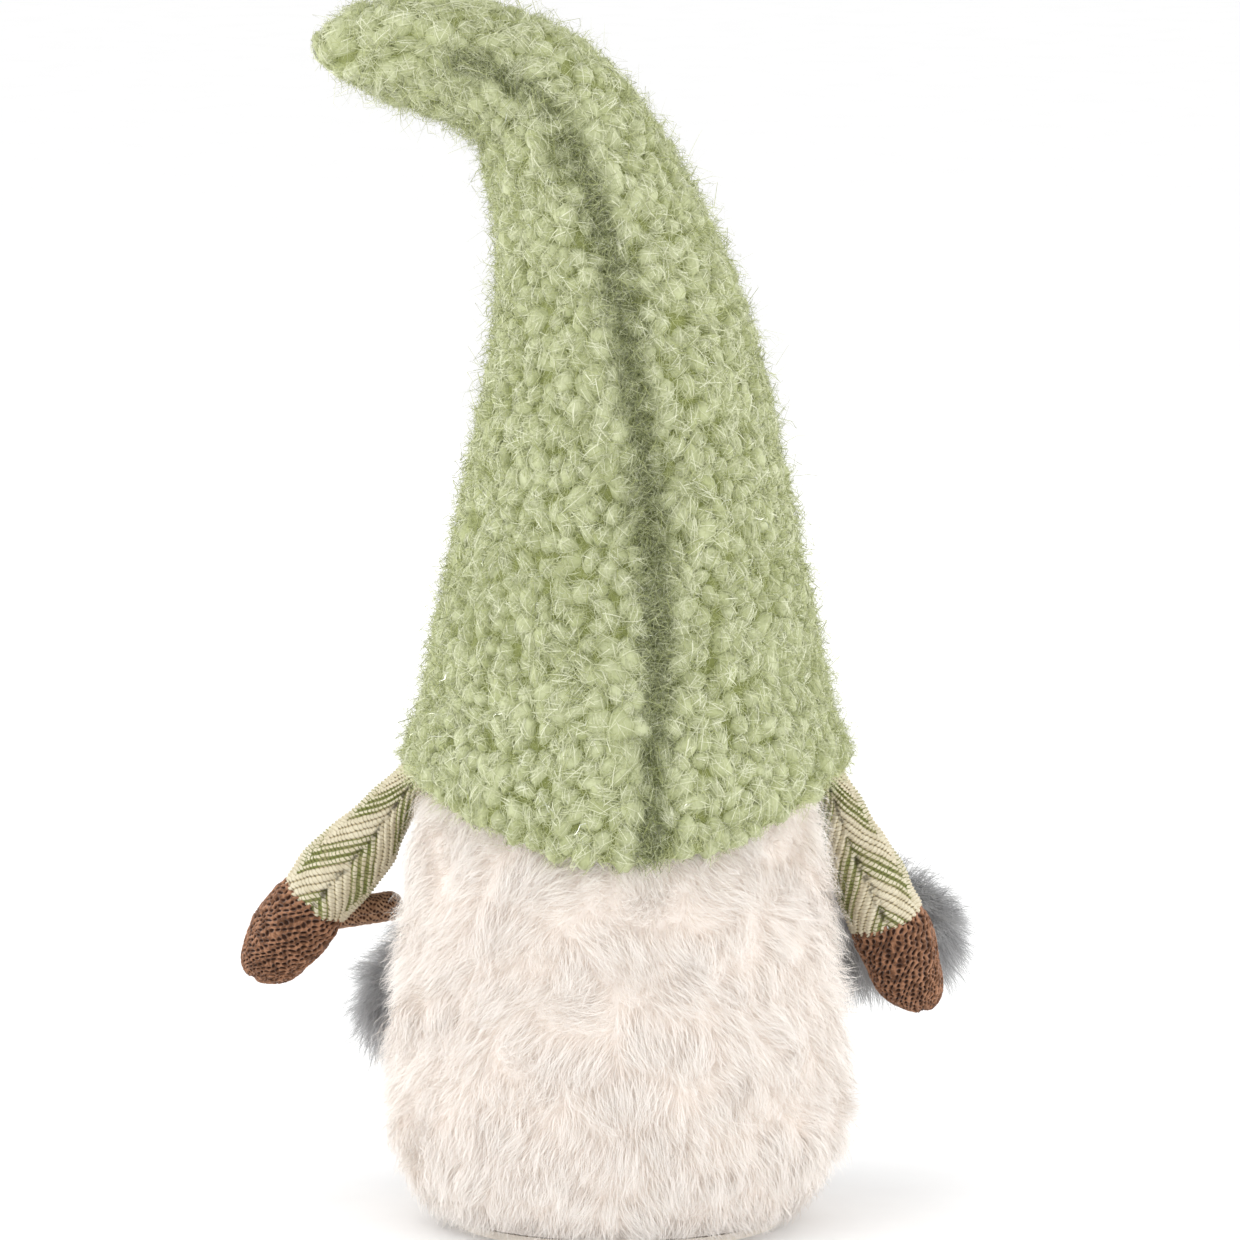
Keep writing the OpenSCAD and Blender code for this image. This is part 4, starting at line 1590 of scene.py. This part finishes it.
        points = middle + out * (r[:, None] + (height * 0.5 - 0.35) * MM - fold * 0.9 * MM)[..., None]
        skin = Cloth()
        skin.grid(points)
        finish = KnitFinish(stitch, f"{self.word}_thumb_knit", turns, rows, yarn=srgb(186, 148, 118),
                            yarn_dark=srgb(146, 110, 84))
        self.finish_piece(skin, "thumb_knit", finish.material(), "thumb")

    def build(self) -> None:
        """Makes the sleeve, mitten and thumb."""
        self.build_sleeve()
        self.build_mitten()
        self.build_thumb()


# ---------------------------------------------------------------- the face


@dataclass
class Face:
    """Round nose, two whisker lobes and a beard of grey fur; lengths in metres."""

    body: BodyLine
    nose_low: Array
    nose_high: Array
    lobe_r: float = 15.5 * MM
    root: tuple[float, float] = (72 * MM, 85 * MM)
    left_end: tuple[float, float] = (66 * MM, 53 * MM)
    right_end: tuple[float, float] = (91 * MM, 76 * MM)
    pile: float = 4.0 * MM
    beard_low: float = 28 * MM
    beard_top: float = 64 * MM
    lobe_fibres: int = 24000
    beard_fibres: int = 16000
    seed: int = 31

    def grey(self, name: str, dark: bool = False) -> bpy.types.Material:
        """The grey pile's finish.

        Args:
            name: the material's name.
            dark: whether it is the backing's, darker and grained.

        Returns:
            The material.
        """
        root = srgb(140, 140, 141) if dark else srgb(156, 156, 157)
        return PileFinish(name, root, srgb(186, 186, 187), srgb(218, 218, 218), srgb(158, 158, 160),
                          0.6, sheen=0.3, grain=0.3 * MM if dark else 0.0).material()

    def nose(self) -> None:
        """A stuffed ball, flat where it lies against the body, gathered at its middle."""
        low, high = self.nose_low, self.nose_high
        middle_x, middle_z = (low[0] + high[0]) / 2, (low[2] + high[2]) / 2
        radius = (high[0] - low[0]) / 2
        front, back = low[1], high[1]
        centre_y = front + radius
        start = math.asin((centre_y - back) / radius)
        angle = np.linspace(start, math.pi / 2 - 0.02, 60)
        r = radius * np.cos(angle)
        y = centre_y - radius * np.sin(angle)
        turn = np.arange(90) / 90 * 2 * math.pi
        c, sn = np.cos(turn)[None], np.sin(turn)[None]
        points = np.stack([middle_x + r[:, None] * c, y[:, None] + 0 * c, middle_z + 0.96 * r[:, None] * sn], -1)
        out = unit(points - np.array([middle_x, centre_y, middle_z]))
        points = points + out * (ripple(points, 13 * MM, 8) * 0.25 * MM - 0.2 * MM)[..., None]
        skin = Cloth()
        skin.grid(points)
        finish = ClothFinish("nose_cloth", srgb(226, 190, 164), srgb(214, 174, 148), 1400.0, 0.75, sheen=0.3)
        on_body(skin.build("nose_ball", finish.material()), Slot.NOSE_CLOTH, "nose_cover")

    def lobe_grid(self, side: Side, inset: float, rows: int, around: int) -> tuple[Array, Array, Array]:
        """A lobe's surface.

        Args:
            side: which lobe.
            inset: depth below the outer shape.
            rows: rings along the lobe.
            around: points in a ring.

        Returns:
            Places, outward directions and directions to the lobe's end, (rows, around, 3).
        """
        sign = side.value
        reach, end_z = self.left_end if side is Side.LEFT else self.right_end
        root_z = self.root[1]
        p = np.array([[sign * 5 * MM, -self.root[0], root_z],
                      [sign * reach * 0.42, -66 * MM, root_z + (end_z - root_z) * 0.3],
                      [sign * reach * 0.85, -58 * MM, root_z + (end_z - root_z) * 0.75],
                      [sign * reach, -52 * MM, end_z]])
        u = np.linspace(0.02, 0.985, rows)[:, None]
        line = bezier(p, u)
        way = unit(np.gradient(line, axis=0))
        across = unit(np.cross(way, np.array([0.0, 0.0, 1.0])))
        up = np.cross(across, way)
        r = self.lobe_r * np.sin(math.pi * (0.13 + 0.855 * u[:, 0])) ** 0.55 - inset
        turn = -sign * np.arange(around) / around * 2 * math.pi
        c, sn = np.cos(turn)[None, :, None], np.sin(turn)[None, :, None]
        out = across[:, None] * c + up[:, None] * sn * 1.1
        points = line[:, None] + out * np.maximum(r, 0.8 * MM)[:, None, None]
        slope = np.gradient(r) / np.linalg.norm(np.gradient(line, axis=0), axis=1)
        normal = unit(unit(out) - way[:, None] * slope[:, None, None])
        return points, normal, way[:, None] + 0 * points

    def off_body(self, points: Array, gap: float) -> Array:
        """Moves what would be inside the body out to its surface.

        Args:
            points: (..., 3) places.
            gap: the least distance kept from the body, in metres.

        Returns:
            The moved places.
        """
        r = np.hypot(points[..., 0], points[..., 1])
        least = self.body.radius(points[..., 2]) + gap
        scale = np.where(r < least, least / np.maximum(r, 1 * MM), 1.0)
        moved = points.copy()
        moved[..., :2] *= scale[..., None]
        return moved

    def lobe(self, side: Side) -> None:
        """One whisker lobe: backing and long pile.

        Args:
            side: which lobe.
        """
        rng = np.random.default_rng(self.seed + side.value)
        word = side.name.lower()
        points, _, _ = self.lobe_grid(side, self.pile, 60, 48)
        skin = Cloth()
        skin.grid(self.off_body(points, 0.0))
        backing = skin.build(f"{word}_whisker_cloth", self.grey(f"{word}_whisker_backing", True))
        on_body(backing, Slot.GREY_FUR, f"{word}_whisker")
        points, normals, way = self.lobe_grid(side, self.pile, 150, 120)
        pick = rng.integers(0, points.shape[0] * points.shape[1], self.lobe_fibres)
        roots = self.off_body(points.reshape(-1, 3)[pick] + rng.normal(0, 0.5 * MM, (len(pick), 3)), 0.0)
        normals, way = normals.reshape(-1, 3)[pick], way.reshape(-1, 3)[pick]
        under = 1 + 0.35 * np.clip(-normals[:, 2], 0, 1)
        flow = 0.35 * way + np.array([0, 0, -0.55]) + 0.8 * normals
        comb = Combing(12 * MM, 0.17 * MM, rise=0.72, droop=0.12, stray=0.3, curl=0.06, clump=0.5, per_clump=60,
                       spread=0.5)
        strands = comb.strands(roots, normals, flow, rng, under)
        on_body(strands.build(f"{word}_whisker_fur", self.grey(f"{word}_whisker_pile")), Slot.GREY_FUR)

    def beard(self) -> None:
        """The beard panel below the nose, in the same fur."""
        rng = np.random.default_rng(self.seed + 7)
        n, half = 14, 24
        rings = []
        for u in np.linspace(0, 1, 30):
            z = self.beard_low + (self.beard_top - self.beard_low) * u
            wide = math.radians(half) * math.sin(math.radians(4 + 168 * u)) ** 0.6
            r = float(self.body.radius(np.array(z)))
            i = np.arange(-n, n + 1) / n
            a = -math.pi / 2 + wide * i
            thick = 7 * MM * np.sqrt(1.02 - i * i)
            outer = np.stack([(r + thick) * np.cos(a), (r + thick) * np.sin(a), np.full(len(i), z)], -1)
            inner = np.stack([r * np.cos(a), r * np.sin(a), np.full(len(i), z)], -1)[::-1]
            rings.append(np.concatenate([outer, inner]))
        rings = np.array(rings)
        skin = Cloth()
        skin.grid(rings)
        on_body(skin.build("beard_cloth", self.grey("beard_backing", True)), Slot.GREY_FUR, "beard_panel")
        outer = rings[:, :2 * n + 1].reshape(-1, 3)
        pick = rng.integers(0, len(outer), self.beard_fibres)
        roots = outer[pick] + rng.normal(0, 0.9 * MM, (len(pick), 3))
        normals = unit(roots * np.array([1.0, 1.0, 0.0]))
        flow = np.array([0.0, 0.0, -1.0]) + 0.25 * normals + 0.3 * unit(roots * np.array([1.0, 0.0, 0.0]) + 1e-6)
        comb = Combing(15 * MM, 0.36 * MM, rise=0.5, droop=0.2, stray=0.15, clump=0.65, per_clump=20, spread=0.15)
        strands = comb.strands(roots, normals, flow, rng)
        on_body(strands.build("beard_fur", self.grey("beard_pile")), Slot.GREY_FUR)

    def build(self) -> None:
        """Makes the nose, the lobes and the beard."""
        self.nose()
        self.lobe(Side.LEFT)
        self.lobe(Side.RIGHT)
        self.beard()


# ---------------------------------------------------------------- kept CAD pieces and the studio


class KeptPieces:
    """Finishes for the CAD pieces that stay: the base cloth and everything inside."""

    FINISHES = {
        Slot.BASE_CLOTH: ClothFinish("base_weave", srgb(244, 236, 226), srgb(232, 223, 210), 1600.0),
        Slot.FILL: ClothFinish("fibre_fill", srgb(248, 248, 246), srgb(228, 228, 226), 240.0, 0.9, sheen=0.3),
        Slot.BOARD: ClothFinish("cardboard", srgb(190, 158, 118), srgb(172, 140, 102), 700.0, 0.85, sheen=0.0),
        Slot.PELLETS: ClothFinish("pellet_bag", srgb(214, 214, 208), srgb(180, 180, 174), 300.0),
        Slot.WIRE: ClothFinish("drawn_wire", srgb(190, 190, 194), srgb(160, 160, 164), 2500.0, 0.35, 1.0, 0.0),
    }

    def dress(self) -> None:
        """Gives each kept node its own node material."""
        finishes = {slot.value: finish.material() for slot, finish in self.FINISHES.items()}
        for row in frame["record"]["subparts"]:
            material = finishes.get(row["material_slot"])
            node = frame["nodes"].get(row["node"])
            if material is None or node is None:
                continue
            for holder in [node, *node.children_recursive]:
                if holder.type == "MESH":
                    holder.data.materials.clear()
                    holder.data.materials.append(material)


@dataclass
class Studio:
    """Pale floor, soft lights and the camera."""

    target: tuple[float, float, float] = (-0.0008, 0.0, 0.1702)
    distance: float = 3.853
    lens: float = 400.0
    elevation_deg: float = 8.0
    floor_half: float = 4.0
    aim: tuple[float, float, float] = (0, 0, 0.17)
    lamps: tuple[tuple[str, tuple[float, float, float], float, float], ...] = (
        ("key", (0.9, 1.2, 1.3), 0.9, 6.0),
        ("fill", (-1.2, 0.9, 0.7), 1.2, 2.5),
        ("side_left", (1.4, 0.1, 0.35), 0.8, 6.0),
        ("side_right", (-1.4, 0.1, 0.35), 0.8, 6.0),
        ("front", (0.3, -1.4, 0.9), 1.0, 3.5),
    )

    def camera(self) -> None:
        """Looks at the gnome's back from a little above."""
        lift = math.radians(self.elevation_deg)
        data = bpy.data.cameras.new("camera")
        data.lens, data.sensor_width = self.lens, 36.0
        made = bpy.data.objects.new("camera", data)
        bpy.context.collection.objects.link(made)
        target = Vector(self.target)
        made.location = target + Vector((0, math.cos(lift), math.sin(lift))) * self.distance
        made.rotation_euler = (target - made.location).to_track_quat("-Z", "Y").to_euler()
        bpy.context.scene.camera = made

    def floor(self) -> None:
        """A wide white floor."""
        half = self.floor_half
        skin = Cloth()
        corners = np.array([[-half, -half, 0], [half, -half, 0], [half, half, 0], [-half, half, 0]])
        skin.add(corners, np.array([[0, 1, 2, 3]]), np.array([[[0, 0], [1, 0], [1, 1], [0, 1]]]))
        finish = ClothFinish("floor_paper", srgb(255, 255, 255), srgb(253, 253, 253), 40.0, 0.95, sheen=0.0)
        skin.build("floor", finish.material())

    def light(self, name: str, place: tuple[float, float, float], size: float, power: float) -> None:
        """A soft square lamp aimed at the gnome.

        Args:
            name: the lamp's name.
            place: where it stands, in metres.
            size: its side, in metres.
            power: in watts.
        """
        data = bpy.data.lights.new(name, "AREA")
        data.shape, data.size, data.energy = "SQUARE", size, power
        made = bpy.data.objects.new(name, data)
        bpy.context.collection.objects.link(made)
        made.location = place
        aim = Vector(self.aim) - Vector(place)
        made.rotation_euler = aim.to_track_quat("-Z", "Y").to_euler()

    def build(self) -> None:
        """Sets up the world, lights, floor and camera."""
        world = bpy.data.worlds.new("studio")
        world.use_nodes = True
        background = world.node_tree.nodes["Background"]
        background.inputs[0].default_value = (1.0, 1.0, 1.0, 1.0)
        background.inputs[1].default_value = 1.0
        bpy.context.scene.world = world
        bpy.context.scene.view_settings.view_transform = "Standard"
        for lamp in self.lamps:
            self.light(*lamp)
        self.floor()
        self.camera()


def joint(name: str) -> Array:
    """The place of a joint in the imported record, in metres."""
    found = next(j for j in frame["joints"] if j["name"] == name)
    return np.array(found["pos_m"], float)


def main() -> None:
    """Builds the gnome's pieces in order."""
    logging.basicConfig(level=logging.INFO, format="%(name)s: %(message)s")
    Studio().build()
    low, high = (np.array(c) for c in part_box("body_skin"))
    body = BodyLine(body_r=float(high[0] - low[0]) / 2, top_z=float(high[2]))
    Body(body).build()
    Hat(HatLine(elbow=joint("hat_tip_bend"))).build()
    Arm(Side.LEFT, joint("left_arm_lift"), 38.0).build()
    Arm(Side.RIGHT, joint("right_arm_lift"), 22.0).build()
    nose_low, nose_high = (np.array(c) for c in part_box("nose_cover"))
    Face(body, nose_low, nose_high).build()
    KeptPieces().dress()


if __name__ == "__main__":
    main()
